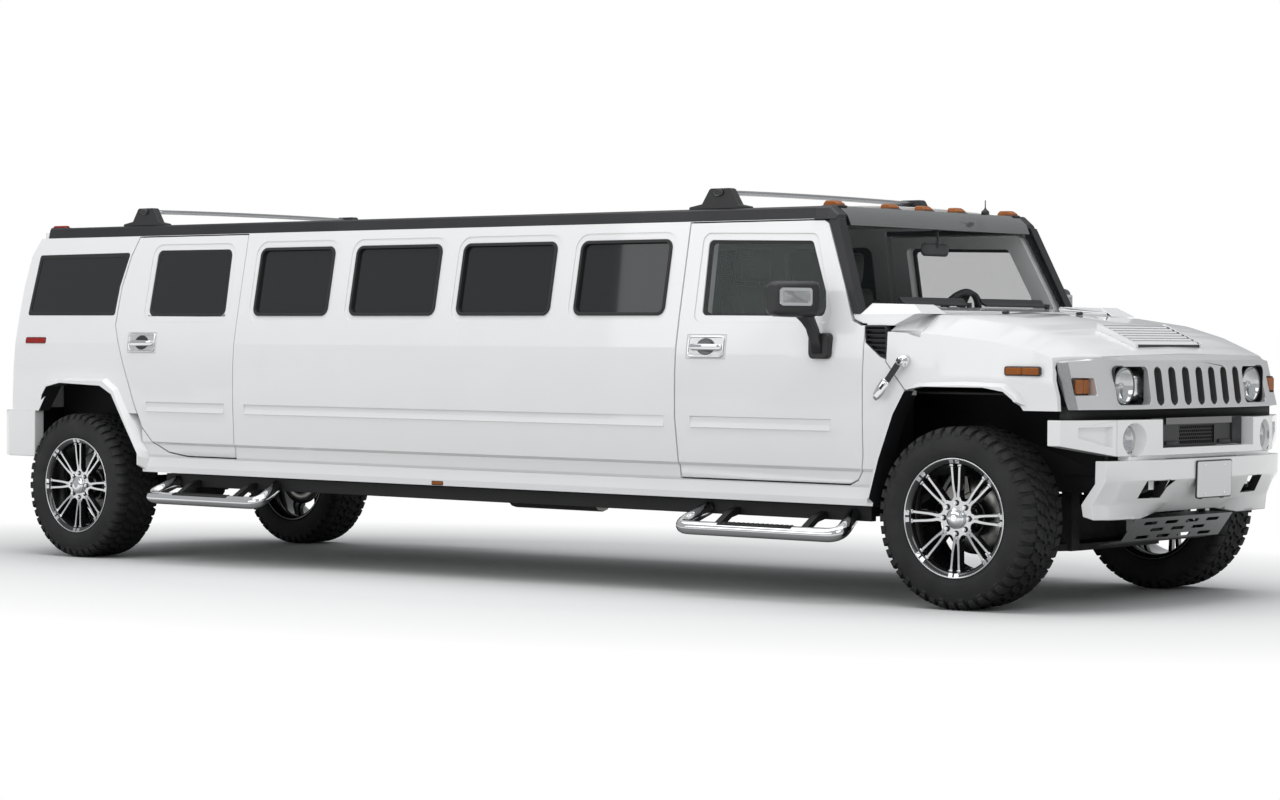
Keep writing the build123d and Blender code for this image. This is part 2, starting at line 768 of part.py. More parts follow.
# Lamps: round headlamps in square pockets, square turn lamps, round fog lamps.
with BuildPart() as front_lamps:
    for y in (-lamp_middle_y, lamp_middle_y):
        with BuildSketch(Plane.YZ.offset(front_axle_x + 596)):
            with Locations((y, 1086)):
                RectangleRounded(lamp_bezel[0] + 40, lamp_bezel[1] + 24, 30)
        extrude(amount=12)
        with BuildSketch(Plane.YZ.offset(front_axle_x + 608)):
            with Locations((y, 1086)):
                Circle(82)
        extrude(amount=60, taper=5)
    add(grille_surround.part, mode=Mode.SUBTRACT)
    for y in (-fog_y, fog_y):
        with BuildSketch(Plane.YZ.offset(front_axle_x + 650)):
            with Locations((y, fog_z)):
                Circle(fog_radius)
        extrude(amount=38)
pieces["front_lamps"] = front_lamps

# ----------------------------------------------------------------- front bumpers
bumper_top = 930
bumper_seam = 762
bumper_plan = [(0, 766), (421, 764), (717, 701), (1000, 570), (1000, 500), (717, 610), (421, 676),
               (0, 676)]                        # half span, x from the front axle
bumper_opening_half = 421
bumper_opening_sill = 797
lower_bumper_top = 742
# Sections of the lower bumper: half span, then x from the front axle of its top,
# knee, waist and lower edge, with the lower edge's height.
lower_bumper_sections = [(800, 691, 689, 615, 625, 468), (720, 720, 719, 672, 664, 466),
                         (455, 768, 767, 700, 661, 461), (270, 784, 783, 712, 634, 487)]
lower_bumper_knee = 649
lower_bumper_waist = 538
lower_bumper_depth = 58
lower_bumper_back = 520


def lower_bumper_section(y, row):
    """Side-view section of the lower bumper at a distance from the middle."""
    span, x_top, x_knee, x_waist, x_low, z_low = row
    points = front([
        (x_top, lower_bumper_top), (x_knee, lower_bumper_knee), (x_waist, lower_bumper_waist),
        (x_low, z_low), (x_low - lower_bumper_depth, z_low + 14),
        (x_waist - lower_bumper_depth, lower_bumper_waist),
        (x_knee - lower_bumper_depth, lower_bumper_knee - 12),
        (x_top - lower_bumper_depth, lower_bumper_top),
    ])
    return face(points, Plane.XZ.offset(-y))


bumper_rows = [lower_bumper_section(-row[0], row) for row in lower_bumper_sections]
bumper_rows += [lower_bumper_section(row[0], row) for row in reversed(lower_bumper_sections)]
tow_opening = [(368, 645), (533, 644), (544, 563), (375, 561)]      # half span, height
with BuildPart() as front_bumper:
    with BuildSketch(Plane.XY.offset(bumper_seam)):
        with BuildLine():
            Polyline(
                *[(front_axle_x + x, y) for y, x in bumper_plan],
                *[(front_axle_x + x, -y) for y, x in reversed(bumper_plan[1:-1])],
                close=True,
            )
        make_face()
    extrude(amount=bumper_top - bumper_seam)
    with BuildSketch(Plane.YZ.offset(front_axle_x + 480)):
        for side in (-1, 1):
            with BuildLine():
                Polyline((side * 717, bumper_seam - 1), (side * 717, bumper_seam),
                         (side * 1001, 812), (side * 1001, bumper_seam - 1), close=True)
            make_face()
        with Locations((0, bumper_opening_sill + 100)):
            Rectangle(2 * bumper_opening_half, 200)
    extrude(amount=300, mode=Mode.SUBTRACT)
    with BuildSketch(Plane.YZ.offset(front_axle_x + 688)):
        with Locations((-fog_y, fog_z), (fog_y, fog_z)):
            Circle(fog_radius + 2)
    extrude(amount=100, taper=-14, mode=Mode.SUBTRACT)
    with BuildSketch(Plane.YZ.offset(front_axle_x + 560)):
        with Locations((-fog_y, fog_z), (fog_y, fog_z)):
            Circle(fog_radius + fit_gap)
    extrude(amount=200, mode=Mode.SUBTRACT)
    loft(bumper_rows, ruled=True)
    with BuildSketch(Plane.YZ.offset(front_axle_x + 480)):
        for side in (-1, 1):
            with BuildLine():
                Polyline(*[(side * y, z) for y, z in tow_opening], close=True)
            make_face()
    extrude(amount=400, mode=Mode.SUBTRACT)
    # Web between the upper and lower bars.
    with Locations((front_axle_x + 690, 0, (bumper_seam + lower_bumper_top) / 2)):
        Box(60, 1300, bumper_seam - lower_bumper_top + 2)
    # Brackets back to the frame rails' ends.
    for side in (-1, 1):
        with Locations((front_axle_x + 616, side * rail_middle_span, 650)):
            Box(192, 50, 100)
pieces["front_bumper"] = front_bumper

# Grille mesh behind the slots, and the air intake set into the bumper's opening.
intake_rows = 4
intake_columns = 12
intake_pitch = 24
with BuildPart() as front_meshes:
    with BuildSketch(Plane.YZ.offset(front_axle_x + 600)):
        with Locations((0, slot_middle)):
            Rectangle(2 * 415.2, 200)
    extrude(amount=10)
    with BuildSketch(Plane.YZ.offset(front_axle_x + 676.3)):
        with Locations((0, 866)):
            Rectangle(2 * 418, 2 * 68)
    extrude(amount=34)
    with BuildSketch(Plane.YZ.offset(front_axle_x + 690)):
        with GridLocations(intake_pitch, intake_pitch, intake_columns, intake_rows):
            RegularPolygon(10, 6)
    extrude(amount=60, mode=Mode.SUBTRACT)
pieces["front_meshes"] = front_meshes

# Amber lenses: turn lamps beside the grille and clearance lamps along the roof's front.
roof_lamp_x = front_axle_x - 870
with BuildPart() as amber_lamps:
    for y, half_length, half_wide, half_high in (
        (-762, 75, 37, 20), (-292, 50, 48, 18), (0, 50, 48, 18), (292, 50, 48, 18), (762, 75, 37, 20),
    ):
        with Locations((roof_lamp_x, y, roof_edge_height + 9)):
            Box(2 * half_length, 2 * half_wide, 2 * half_high)
    add(roof_edges.part, mode=Mode.SUBTRACT)
    add(roof_panel.part, mode=Mode.SUBTRACT)
    for y in (-turn_middle_y, turn_middle_y):
        with BuildSketch(Plane.YZ.offset(front_axle_x + 560)):
            with Locations((y, 1083)):
                RectangleRounded(turn_size[0] - 1, turn_size[1] - 1, 10)
        extrude(amount=44)
pieces["amber_lamps"] = amber_lamps

# Slotted skid plate under the nose.
skid_points = front([(465, 462), (640, 460), (560, 348), (440, 326), (440, 334), (555, 356),
                     (628, 454), (465, 454)])
skid_half_width = 446
skid_slots = [(4, 366), (3, 400), (4, 434)]                # slots in a row, height
skid_slot = [(-60, 0), (-54, -8), (54, -8), (60, 0), (54, 8), (-54, 8)]
with BuildPart() as skid_plate:
    with BuildSketch(Plane.XZ.offset(-skid_half_width)):
        with BuildLine():
            Polyline(*skid_points, close=True)
        make_face()
    extrude(amount=2 * skid_half_width)
    # Hangers up to the frame rails.
    for side in (-1, 1):
        with Locations((front_axle_x + 490, side * (skid_half_width - 20),
                        (462 + rail_height + rail_rise) / 2)):
            Box(40, 40, rail_height + rail_rise - 462)
    with BuildSketch(Plane.YZ.offset(front_axle_x + 400)):
        for columns, z in skid_slots:
            with Locations((0, z)):
                with GridLocations(190, 1, columns, 1):
                    Polygon(*skid_slot)
    extrude(amount=300, mode=Mode.SUBTRACT)
pieces["skid_plate"] = skid_plate

# ------------------------------------------------------- tailgate and rear bumper
tailgate_outline = [(post_bottom + panel_gap, 815), (1410, 800), (cant_height - panel_gap, 725)]
tailgate_window = [(1425, 690), (1790, 655)]        # height, half width
with BuildPart() as tailgate:
    add(tail_slab(tailgate_thickness))
    with BuildSketch(Plane.YZ.offset(tail_x)):
        with BuildLine():
            edge = [(y - panel_gap, z) for z, y in tailgate_outline]
            Polyline(*edge, *[(-y, z) for y, z in reversed(edge)], close=True)
        make_face()
    extrude(amount=800, mode=Mode.INTERSECT)
    with BuildSketch(Plane.YZ.offset(tail_x)) as tail_opening:
        with BuildLine():
            edge = [(y, z) for z, y in tailgate_window]
            Polyline(*edge, *[(-y, z) for y, z in reversed(edge)], close=True)
        make_face()
        fillet(tail_opening.vertices(), 45)
    extrude(amount=800, mode=Mode.SUBTRACT)
pieces["tailgate"] = tailgate

with BuildPart() as tailgate_glass:
    add(tail_slab(pane_depth + glass) - tail_slab(pane_depth))
    extrude(tail_opening.sketch, amount=800, mode=Mode.INTERSECT)
pieces["tailgate_glass"] = tailgate_glass

rear_bumper_plan = [(0, -787), (600, -780), (960, -735), (1002, -660), (1002, -412), (930, -412),
                    (930, -610), (860, -650), (0, -650)]    # half span, x from the rear axle
with BuildPart() as rear_bumper:
    with BuildSketch(Plane.XY.offset(560)):
        with BuildLine():
            Polyline(
                *[(rear_axle_x + x, y) for y, x in rear_bumper_plan],
                *[(rear_axle_x + x, -y) for y, x in reversed(rear_bumper_plan[1:-1])],
                close=True,
            )
        make_face()
    extrude(amount=838 - fit_gap - 560)
    for side in (-1, 1):
        with Locations((rear_axle_x - 605, side * rail_middle_span, 640)):
            Box(90, 50, 90)
pieces["rear_bumper"] = rear_bumper
with BuildPart() as red_lamps:
    for side in (-1, 1):
        with Locations((rear_axle_x - 605, side * 885, 1080)):
            Box(30, 90, 300)
    add(tail_slab(90), mode=Mode.SUBTRACT)
pieces["red_lamps"] = red_lamps

# ------------------------------------------------------------------ ladder frame
rail_line = (
    rear([(-560, 0), (-420, 0), (470, 0), (760, -rail_rise)])
    + front([(-600, -rail_rise), (-380, 0), (430, 0), (520, 0)])
)                                                   # x, rise above the high level
rail_high = rail_height + rail_rise
rail_points = [(x, rail_high + rise) for x, rise in rail_line]
rail_outline = rail_points + [(x, z + rail_depth) for x, z in reversed(rail_points)]
cross_members = [rear_axle_x - 470, rear_axle_x + 900, -700, 700, front_axle_x - 1000]
engine_size = (760, 620, 560)
hitch_height = 520
hitch_pin_radius = 8.1
hitch_pin_x = rear_axle_x - 670
outriggers = [rear_axle_x + 900, rear_axle_x + 1500, 0, front_axle_x - 1500, front_axle_x - 600]
sill_rail_half_width = 860
sill_rail_width = 40
sill_rail_low = 418
sill_rail_top = 489
with BuildPart() as ladder_frame:
    for side in (-1, 1):
        with BuildSketch(Plane.XZ.offset(-side * rail_middle_span - rail_width / 2)):
            with BuildLine():
                Polyline(*rail_outline, close=True)
            make_face()
        extrude(amount=rail_width)
    for x in cross_members:
        top = rail_high + rail_depth if x < rear_axle_x + 470 else rail_height + rail_depth
        with Locations((x, 0, top - 18)):
            Box(90, 2 * rail_half_span, 36)
    # Engine mounts off the rails' inner faces, and the hitch receiver at the rear.
    for side in (-1, 1):
        with Locations((front_axle_x - 60, side * (engine_size[1] / 2 + rail_half_span) / 2, 640)):
            Box(90, rail_half_span - engine_size[1] / 2 - 2 * fit_gap, 60)
    with Locations((rear_axle_x - 520, 0, hitch_height - 38)):
        Box(76, 2 * rail_half_span + 2 * rail_width, rail_high - hitch_height + 38,
            align=(Align.CENTER, Align.CENTER, Align.MIN))
    with Locations((rear_axle_x - 602, 0, hitch_height)):
        Box(240, 63.6, 63.6)
        Box(300, 51.2, 51.2, mode=Mode.SUBTRACT)
    with Locations((hitch_pin_x, 0, hitch_height)):
        Cylinder(hitch_pin_radius, 100, rotation=(90, 0, 0), mode=Mode.SUBTRACT)
    for x in outriggers:
        reach = sill_rail_half_width - rail_half_span - rail_width
        for side in (-1, 1):
            with Locations((x, side * (sill_rail_half_width - reach / 2), sill_rail_low + 42)):
                Box(70, reach, 40)
    with Locations(*[(x, y, floor_height) for x in (rear_axle_x + 1000, -900, 900,
                                                    front_axle_x - 1100)
                     for y in (-rail_middle_span, rail_middle_span)]):
        Cylinder(32, floor_height - rail_height - rail_depth,
                 align=(Align.CENTER, Align.CENTER, Align.MAX))
    for side in (-1, 1):
        with Locations(((rear_axle_x + front_axle_x) / 2 + 60,
                        side * (sill_rail_half_width + sill_rail_width / 2),
                        (sill_rail_low + sill_rail_top) / 2)):
            Box(wheelbase - 1240, sill_rail_width, sill_rail_top - sill_rail_low)
pieces["ladder_frame"] = ladder_frame

# --------------------------------------------------------------------- floor pan
floor_half_width = 884
floor_rear_x = rear_axle_x + 780
firewall_x = front_axle_x - 620
firewall_thickness = 20
house_half_span = 690            # rear wheel houses, inner face
house_thickness = 8
house_top = 1062
with BuildPart() as floor_pan:
    floor_middle = (floor_rear_x + firewall_x) / 2
    with Locations((floor_middle, 0, floor_height + floor_thickness / 2)):
        Box(firewall_x - floor_rear_x, 2 * floor_half_width, floor_thickness)
    # Rear floor between the wheel houses, stepped up over the axle.
    house_reach = floor_half_width - house_half_span
    with Locations((rear_axle_x + 125, 0, 760)):
        Box(1310, 2 * house_half_span, floor_thickness)
    with Locations((floor_rear_x + 5, 0, (floor_height + 772) / 2)):
        Box(20, 2 * floor_half_width, 772 - floor_height)
    for side in (-1, 1):
        with Locations((rear_axle_x + 135, side * (house_half_span + house_thickness / 2),
                        (748 + house_top) / 2)):
            Box(1290, house_thickness, house_top - 748)
        with Locations((rear_axle_x + 85, side * (house_half_span + house_reach / 2), house_top)):
            Box(1190, house_reach, house_thickness)
        with Locations((rear_axle_x + 676, side * (house_half_span + house_reach / 2),
                        (772 + house_top) / 2)):
            Box(house_thickness, house_reach, house_top - 772)
        with Locations((rear_axle_x + 725, side * (house_half_span + house_reach / 2), 760)):
            Box(110, house_reach, floor_thickness)
    # Seal rails that the doors and the tailgate close against.
    for x_rear, x_front in ((front_axle_x - 1660, front_axle_x - 640),
                            (floor_rear_x + 20, rear_axle_x + rear_door_hinge - 40)):
        for side in (-1, 1):
            with Locations(((x_rear + x_front) / 2, side * 878, floor_height + 42)):
                Box(x_front - x_rear, 15.4, 36)
    with Locations((rear_axle_x - 536, 0, 824)):
        Box(39, 1200, 152)
    with Locations((firewall_x + firewall_thickness / 2, 0, (floor_height + 1360) / 2)):
        Box(firewall_thickness, 2 * floor_half_width, 1360 - floor_height)
pieces["floor_pan"] = floor_pan

# Inner fenders: upright walls beside the engine and liners over the front tyres.
liner_half_span = 496
liner_height = 1044
liner_reach = 905
with BuildPart() as inner_fenders:
    for side in (-1, 1):
        with Locations((front_axle_x - 45, side * liner_half_span, (660 + liner_height) / 2)):
            Box(1110, 10, liner_height - 660)
        with Locations((front_axle_x - 15, side * (liner_half_span + liner_reach) / 2,
                        liner_height)):
            Box(1030, liner_reach - liner_half_span, 10)
pieces["inner_fenders"] = inner_fenders

# ------------------------------------------------------------ engine and running gear
def flat_sided(stations, sides, x, z):
    """A flat-sided body about a crosswise axis from its (corner radius, y) stations."""
    with BuildPart() as body:
        for radius, y in stations:
            with BuildSketch(Plane(origin=(x, y, z), x_dir=(1, 0, 0), z_dir=(0, -1, 0))):
                RegularPolygon(radius, sides)
        loft(ruled=True)
    return body.part


with BuildPart() as engine:
    with Locations((front_axle_x - 60, 0, 880)):
        Box(*engine_size)
pieces["engine"] = engine

axle_tube_radius = 44
diff_radius = 150
rear_axle_half = half_track - 60 - 0.3
with BuildPart() as rear_axle:
    add(flat_sided([(axle_tube_radius, rear_axle_half), (axle_tube_radius, -rear_axle_half)], 12,
                   rear_axle_x, rear_hub_z))
    add(flat_sided([(70, 105), (diff_radius, 52), (diff_radius, -52), (70, -105)], 12,
                   rear_axle_x, rear_hub_z))
    with BuildSketch(Plane.YZ.offset(rear_axle_x + 40)):
        with Locations((0, rear_hub_z)):
            RegularPolygon(56, 10)
    extrude(amount=160)
    for side in (-1, 1):
        add(flat_sided([(72, side * rear_axle_half), (72, side * (rear_axle_half - 24))], 12,
                       rear_axle_x, rear_hub_z))
        with Locations((rear_axle_x, side * (half_track - 2.5), rear_hub_z)):
            Cylinder(28, 125, rotation=(90, 0, 0))
        with Locations((rear_axle_x, side * 437, (rear_hub_z + rail_high) / 2 + 20)):
            Cylinder(34, rail_high - rear_hub_z - 40)
pieces["rear_axle"] = rear_axle

ball_joint_low = 150
ball_joint_high = 150
arm_root = 330
arm_thickness = 34
upright_half = ball_joint_low - 24
steer_axis_y = half_track - steer_axis_inset
knuckle_inner_reach = steer_axis_y - 32 - 45
low_arm_plan = [(-260, arm_root), (-190, arm_root), (0, 560), (190, arm_root), (260, arm_root),
                (42, steer_axis_y + 20), (-42, steer_axis_y + 20)]
high_arm_plan = [(-170, rail_half_span + rail_width), (-110, rail_half_span + rail_width), (0, 600),
                 (110, rail_half_span + rail_width), (170, rail_half_span + rail_width),
                 (30, steer_axis_y + 18), (-30, steer_axis_y + 18)]
with BuildPart() as front_suspension:
    with Locations((front_axle_x, 0, front_hub_z - ball_joint_low - 22)):
        Box(220, 2 * arm_root, 207, align=(Align.CENTER, Align.CENTER, Align.MIN))
    with Locations((front_axle_x, 0, front_hub_z - ball_joint_low - 22)):
        Box(520, 2 * arm_root, arm_thickness, align=(Align.CENTER, Align.CENTER, Align.MIN))
    for x in (-225, 225):
        for side in (-1, 1):
            with Locations((front_axle_x + x, side * (arm_root + rail_half_span) / 2,
                            front_hub_z - ball_joint_low - 22)):
                Box(60, rail_half_span - arm_root, 330, align=(Align.CENTER, Align.CENTER, Align.MIN))
    for side in (-1, 1):
        for plan, z, thickness in ((low_arm_plan, -ball_joint_low - 22, arm_thickness),
                                   (high_arm_plan, ball_joint_high - 6, 24)):
            with BuildSketch(Plane.XY.offset(front_hub_z + z)):
                with BuildLine():
                    Polyline(*[(front_axle_x + x, side * y) for x, y in plan], close=True)
                make_face()
            extrude(amount=thickness)
        low_pin = upright_half + fit_gap
        for z, length in ((-ball_joint_low, ball_joint_low - low_pin),
                          (low_pin, ball_joint_high - low_pin)):
            with Locations((front_axle_x, side * steer_axis_y, front_hub_z + z)):
                Cylinder(16, length, align=(Align.CENTER, Align.CENTER, Align.MIN))
        with Locations((front_axle_x, side * (arm_root + knuckle_inner_reach) / 2, front_hub_z)):
            Cylinder(24, knuckle_inner_reach - arm_root, rotation=(90, 0, 0))
pieces["front_suspension"] = front_suspension

prop_radius = 45
prop_height = 470
prop_bearing_x = -700
cross_member_low = rail_height + rail_depth - 36
with BuildPart() as prop_shaft:
    with BuildLine() as prop_line:
        Polyline((front_axle_x - 500, 0, prop_height), (prop_bearing_x, 0, prop_height),
                 (rear_axle_x + 206, 0, rear_hub_z))
    with BuildSketch(Plane(origin=prop_line.line @ 0, z_dir=prop_line.line % 0)):
        Circle(prop_radius)
    sweep(path=prop_line.line, transition=Transition.ROUND)
    # Centre bearing hung from the cross-member.
    with Locations((prop_bearing_x, 0, cross_member_low)):
        Box(50, 130, cross_member_low - prop_height, align=(Align.CENTER, Align.CENTER, Align.MAX))
pieces["prop_shaft"] = prop_shaft

with BuildPart() as exhaust:
    with BuildLine():
        Polyline(
            (front_axle_x - 700, -200, 430), (front_axle_x - 1000, -230, 430),
            (rear_axle_x + 1500, -230, 430), (rear_axle_x + 900, -330, 430),
            (rear_axle_x + 700, -330, 430),
        )
    with BuildSketch(Plane.YZ.offset(front_axle_x - 700)):
        with Locations((-200, 430)):
            RegularPolygon(31, 8)
    sweep(transition=Transition.RIGHT)
    with BuildSketch(Plane.YZ.offset(-320)):
        with Locations((-230, 430)):
            RegularPolygon(82, 12)
    extrude(amount=640)
    with Locations((-700, -230, cross_member_low), (700, -230, cross_member_low)):
        Box(24, 16, cross_member_low - 440, align=(Align.CENTER, Align.CENTER, Align.MAX))
pieces["exhaust"] = exhaust

with BuildPart() as fuel_tank:
    with Locations((rear_axle_x + 1450, rail_half_span, 490)):
        Box(800, 330, 150, align=(Align.CENTER, Align.MAX, Align.CENTER))
    fillet(fuel_tank.edges().filter_by(Axis.X), 40)
pieces["fuel_tank"] = fuel_tank

# ------------------------------------------------------------------------ wheels
# Stations are (corner radius, distance outboard of the wheel's middle), outer side first.
wheel_sides = 24
spoke_pairs = 8
tyre_half = tyre_width / 2
bead_half = 129.5
lug_depth = 12
lug_count = 24
lug_half_angle = 4.4
shoulder = (86, 131)             # where a shoulder lug starts and ends, from the middle
middle_blocks = 62
carcass_radius = tyre_radius - lug_depth
sidewall = [(352 + 4, tyre_half), (402, tyre_half - 3), (carcass_radius, tyre_half - 14)]
barrel_inner = bead_radius - 14
flange = [(lip_radius, 142), (lip_radius, 134), (bead_radius, bead_half)]
spoke_face = 124
spoke_depth = 38
hub_radius = 88
disc_back = -60
disc_front = -38
spindle_radius = 28
spindle_end = 60
hub_nose = [(40, 138), (44, spoke_face - 4), (hub_radius, spoke_face - 12),
            (hub_radius, disc_front)]
spoke_bar = [(80, 2), (262, 15), (262, 29), (80, 15)]      # along the wheel's radius, aside


def both_ways(stations):
    """Stations of one half of a wheel with those of its other half added."""
    return stations + [(r, -u) for r, u in reversed(stations)]


def wheel_body(stations, x, z, sides=wheel_sides):
    """A flat-sided body about the axis of a right wheel."""
    return flat_sided([(r, -half_track - u) for r, u in stations], sides, x, z)


def turned(section, x, z, side=-1, hub_y=half_track):
    """A body turned about a wheel's axis from its (radius, distance outboard) section."""
    with BuildPart() as body:
        with BuildSketch(Plane.XY.offset(z)):
            with BuildLine():
                Polyline(*[(x + r, side * (hub_y + u)) for r, u in section], close=True)
            make_face()
        revolve(axis=Axis((x, 0, z), (0, 1, 0)))
    return body.part


knuckle_inner = half_track - steer_axis_inset - 32
knuckle_outer = half_track - steer_axis_inset + 20
hub_stop = half_track + disc_back - fit_gap
for axle_name, axle_x, hub_z in (("front", front_axle_x, front_hub_z),
                                 ("rear", rear_axle_x, rear_hub_z)):
    wheel_face = Plane(origin=(axle_x, -half_track - spoke_face + spoke_depth, hub_z),
                       x_dir=(1, 0, 0), z_dir=(0, -1, 0))
    with BuildPart() as tyre:
        add(wheel_body(both_ways(sidewall), axle_x, hub_z))
        add(wheel_body(both_ways([(tyre_radius, middle_blocks)]), axle_x, hub_z))
        for start, end in (shoulder, (-shoulder[1], -shoulder[0])):
            with BuildSketch(Plane(origin=(axle_x, -half_track - start, hub_z),
                                   x_dir=(1, 0, 0), z_dir=(0, -1, 0))):
                with BuildLine():
                    half = radians(lug_half_angle)
                    root = carcass_radius - 6
                    teeth = [radians(360 / lug_count * i + 90) for i in range(lug_count)]
                    Polyline(*[(r * cos(t + a), r * sin(t + a)) for t in teeth
                               for r, a in ((root, -half), (tyre_radius, -half),
                                            (tyre_radius, half), (root, half))], close=True)
                make_face()
            extrude(amount=end - start)
        add(wheel_body(both_ways([(bead_radius, 200)]), axle_x, hub_z), mode=Mode.SUBTRACT)
        for way in (-1, 1):
            add(wheel_body([(lip_radius + 6, way * bead_half), (352, way * tyre_half),
                            (363, way * (tyre_half + 4))], axle_x, hub_z), mode=Mode.SUBTRACT)
    with BuildPart() as rim:
        with BuildSketch(wheel_face):
            for way in (-1, 1):
                with BuildLine(mode=Mode.PRIVATE) as bar:
                    Polyline(*[(r, way * aside) for r, aside in spoke_bar], close=True)
                with PolarLocations(0, spoke_pairs):
                    add(make_face(bar.line, mode=Mode.PRIVATE))
        extrude(amount=spoke_depth - 8)
        with BuildPart(mode=Mode.PRIVATE) as barrel:
            add(wheel_body(both_ways(flange), axle_x, hub_z))
            add(wheel_body(both_ways([(barrel_inner, 200)]), axle_x, hub_z), mode=Mode.SUBTRACT)
            for way in (-1, 1):
                add(wheel_body([(barrel_inner - 3, way * 133), (lip_radius - 5, way * 143)],
                               axle_x, hub_z), mode=Mode.SUBTRACT)
        add(barrel.part)
        add(wheel_body([(disc_radius, disc_front), (disc_radius, disc_back)], axle_x, hub_z, 16))
        add(wheel_body(hub_nose, axle_x, hub_z, 16))
        with Locations((axle_x, -half_track - disc_back, hub_z)):
            Cylinder(spindle_radius + fit_gap, spindle_end + fit_gap - disc_back,
                     rotation=(90, 0, 0), align=(Align.CENTER, Align.CENTER, Align.MIN),
                     mode=Mode.SUBTRACT)
    with BuildPart() as left_tyre:
        mirror(tyre.part, about=Plane.XZ, mode=Mode.ADD)
    with BuildPart() as left_rim:
        mirror(rim.part, about=Plane.XZ, mode=Mode.ADD)
    pieces[f"{axle_name}_tyre_right"] = tyre
    pieces[f"{axle_name}_tyre_left"] = left_tyre
    pieces[f"{axle_name}_rim_right"] = rim
    pieces[f"{axle_name}_rim_left"] = left_rim

# Steering knuckles: upright between the ball joints, with the spindle for the hub.
spindle_section = [(0, disc_back - 32), (70, disc_back - 32), (70, disc_back - fit_gap),
                   (spindle_radius, disc_back - fit_gap), (spindle_radius, spindle_end),
                   (0, spindle_end)]
with BuildPart() as knuckle_right:
    with Locations((front_axle_x, -(knuckle_inner + knuckle_outer) / 2, front_hub_z)):
        Box(96, knuckle_outer - knuckle_inner, 2 * (ball_joint_low - 24))
    add(turned(spindle_section, front_axle_x, front_hub_z))
with BuildPart() as knuckle_left:
    mirror(knuckle_right.part, about=Plane.XZ, mode=Mode.ADD)
pieces["knuckle_right"] = knuckle_right
pieces["knuckle_left"] = knuckle_left

# --------------------------------------------------------------- mirrors and roof
mirror_head = (130, 255, 175)
mirror_centre = (front_axle_x - 853, 1170, 1488)
mirror_foot = face(front([
    (-854, 1300), (-850, 1215), (-820, 1197), (-740, 1197), (-718, 1225), (-722, 1380),
    (-800, 1384),
]))
mirror_arm = face(front([(-815, 1290), (-735, 1290), (-745, 1425), (-830, 1425)]))
with BuildPart() as mirror_right:
    extrude(mirror_foot, amount=1026)
    extrude(mirror_foot, amount=955, mode=Mode.SUBTRACT)
    add(wall_prism(-fit_gap, 200), mode=Mode.SUBTRACT)
    with Locations((mirror_centre[0], -mirror_centre[1], mirror_centre[2])):
        Box(*mirror_head)
    fillet(mirror_right.edges().filter_by(Axis.Y).group_by(Axis.Z)[-1], 30)
    with BuildSketch(Plane.XZ.offset(1015)):
        with BuildLine():
            Polyline(*front([(-812, 1300), (-738, 1300), (-795, 1430), (-862, 1430)]), close=True)
        make_face()
    extrude(amount=70)
with BuildPart() as mirror_left:
    mirror(mirror_right.part, about=Plane.XZ, mode=Mode.ADD)
pieces["mirror_right"] = mirror_right
pieces["mirror_left"] = mirror_left

# Two crossbars over the roof on moulded feet with round end caps.
rack_feet = [(front_axle_x - 1565, 391, 1), (rear_axle_x + 414, 422, -1)]   # x, foot length
rack_foot_y = 822
rack_bar_z = 2032
with BuildPart() as roof_rack:
    for x, foot_length, lean in rack_feet:
        for side in (-1, 1):
            with BuildSketch(Plane.XZ.offset(-side * rack_foot_y - 24)):
                with BuildLine():
                    half_foot = foot_length / 2
                    Polyline((x - half_foot, roof_edge_height + 1), (x + half_foot, roof_edge_height + 1),
                             (x + half_foot - 60, roof_edge_height + 46),
                             (x + 70, roof_edge_height + 62), (x + 48, rack_bar_z + 20),
                             (x - 52, rack_bar_z + 20), (x - 74, roof_edge_height + 62),
                             (x - half_foot + 60, roof_edge_height + 46), close=True)
                make_face()
            extrude(amount=48)
        with BuildSketch(Plane.XZ.offset(-rack_foot_y + 10)):
            with Locations((x, rack_bar_z)):
                Ellipse(46, 17)
        extrude(amount=2 * rack_foot_y - 20)
    add(roof_panel.part, mode=Mode.SUBTRACT)
    add(roof_edges.part, mode=Mode.SUBTRACT)
pieces["roof_rack"] = roof_rack

# Side steps: bright tubes with their ends turned in to the sill rails.
step_tube_radius = 26
step_height = 356
step_half_width = 1092
step_bend = 48
step_spans = [(rear_axle_x + 725, rear_axle_x + 1684), (front_axle_x - 1624, front_axle_x - 606)]
with BuildPart() as side_steps:
    for x_rear, x_front in step_spans:
        with BuildLine() as step_run:
            Polyline(
                (x_rear + 60, -sill_rail_half_width - 40, sill_rail_low + 30),
                (x_rear + 18, -step_half_width + step_bend, step_height + 22),
                (x_rear + step_bend, -step_half_width, step_height),
                (x_front - step_bend, -step_half_width, step_height),
                (x_front - 18, -step_half_width + step_bend, step_height + 22),
                (x_front - 60, -sill_rail_half_width - 40, sill_rail_low + 30),
            )
        with BuildSketch(Plane(origin=step_run.line @ 0, z_dir=step_run.line % 0)):
            RegularPolygon(step_tube_radius, 10)
        sweep(path=step_run.line, transition=Transition.RIGHT)
        for x in (x_rear + 240, x_front - 240):
            with Locations((x, -(step_half_width + sill_rail_half_width + sill_rail_width) / 2,
                            (step_height + sill_rail_low + 30) / 2)):
                Box(50, step_half_width - sill_rail_half_width - sill_rail_width, 90)
    add(ladder_frame.part, mode=Mode.SUBTRACT)
    mirror(side_steps.part, about=Plane.XZ, mode=Mode.ADD)
pieces["side_steps"] = side_steps

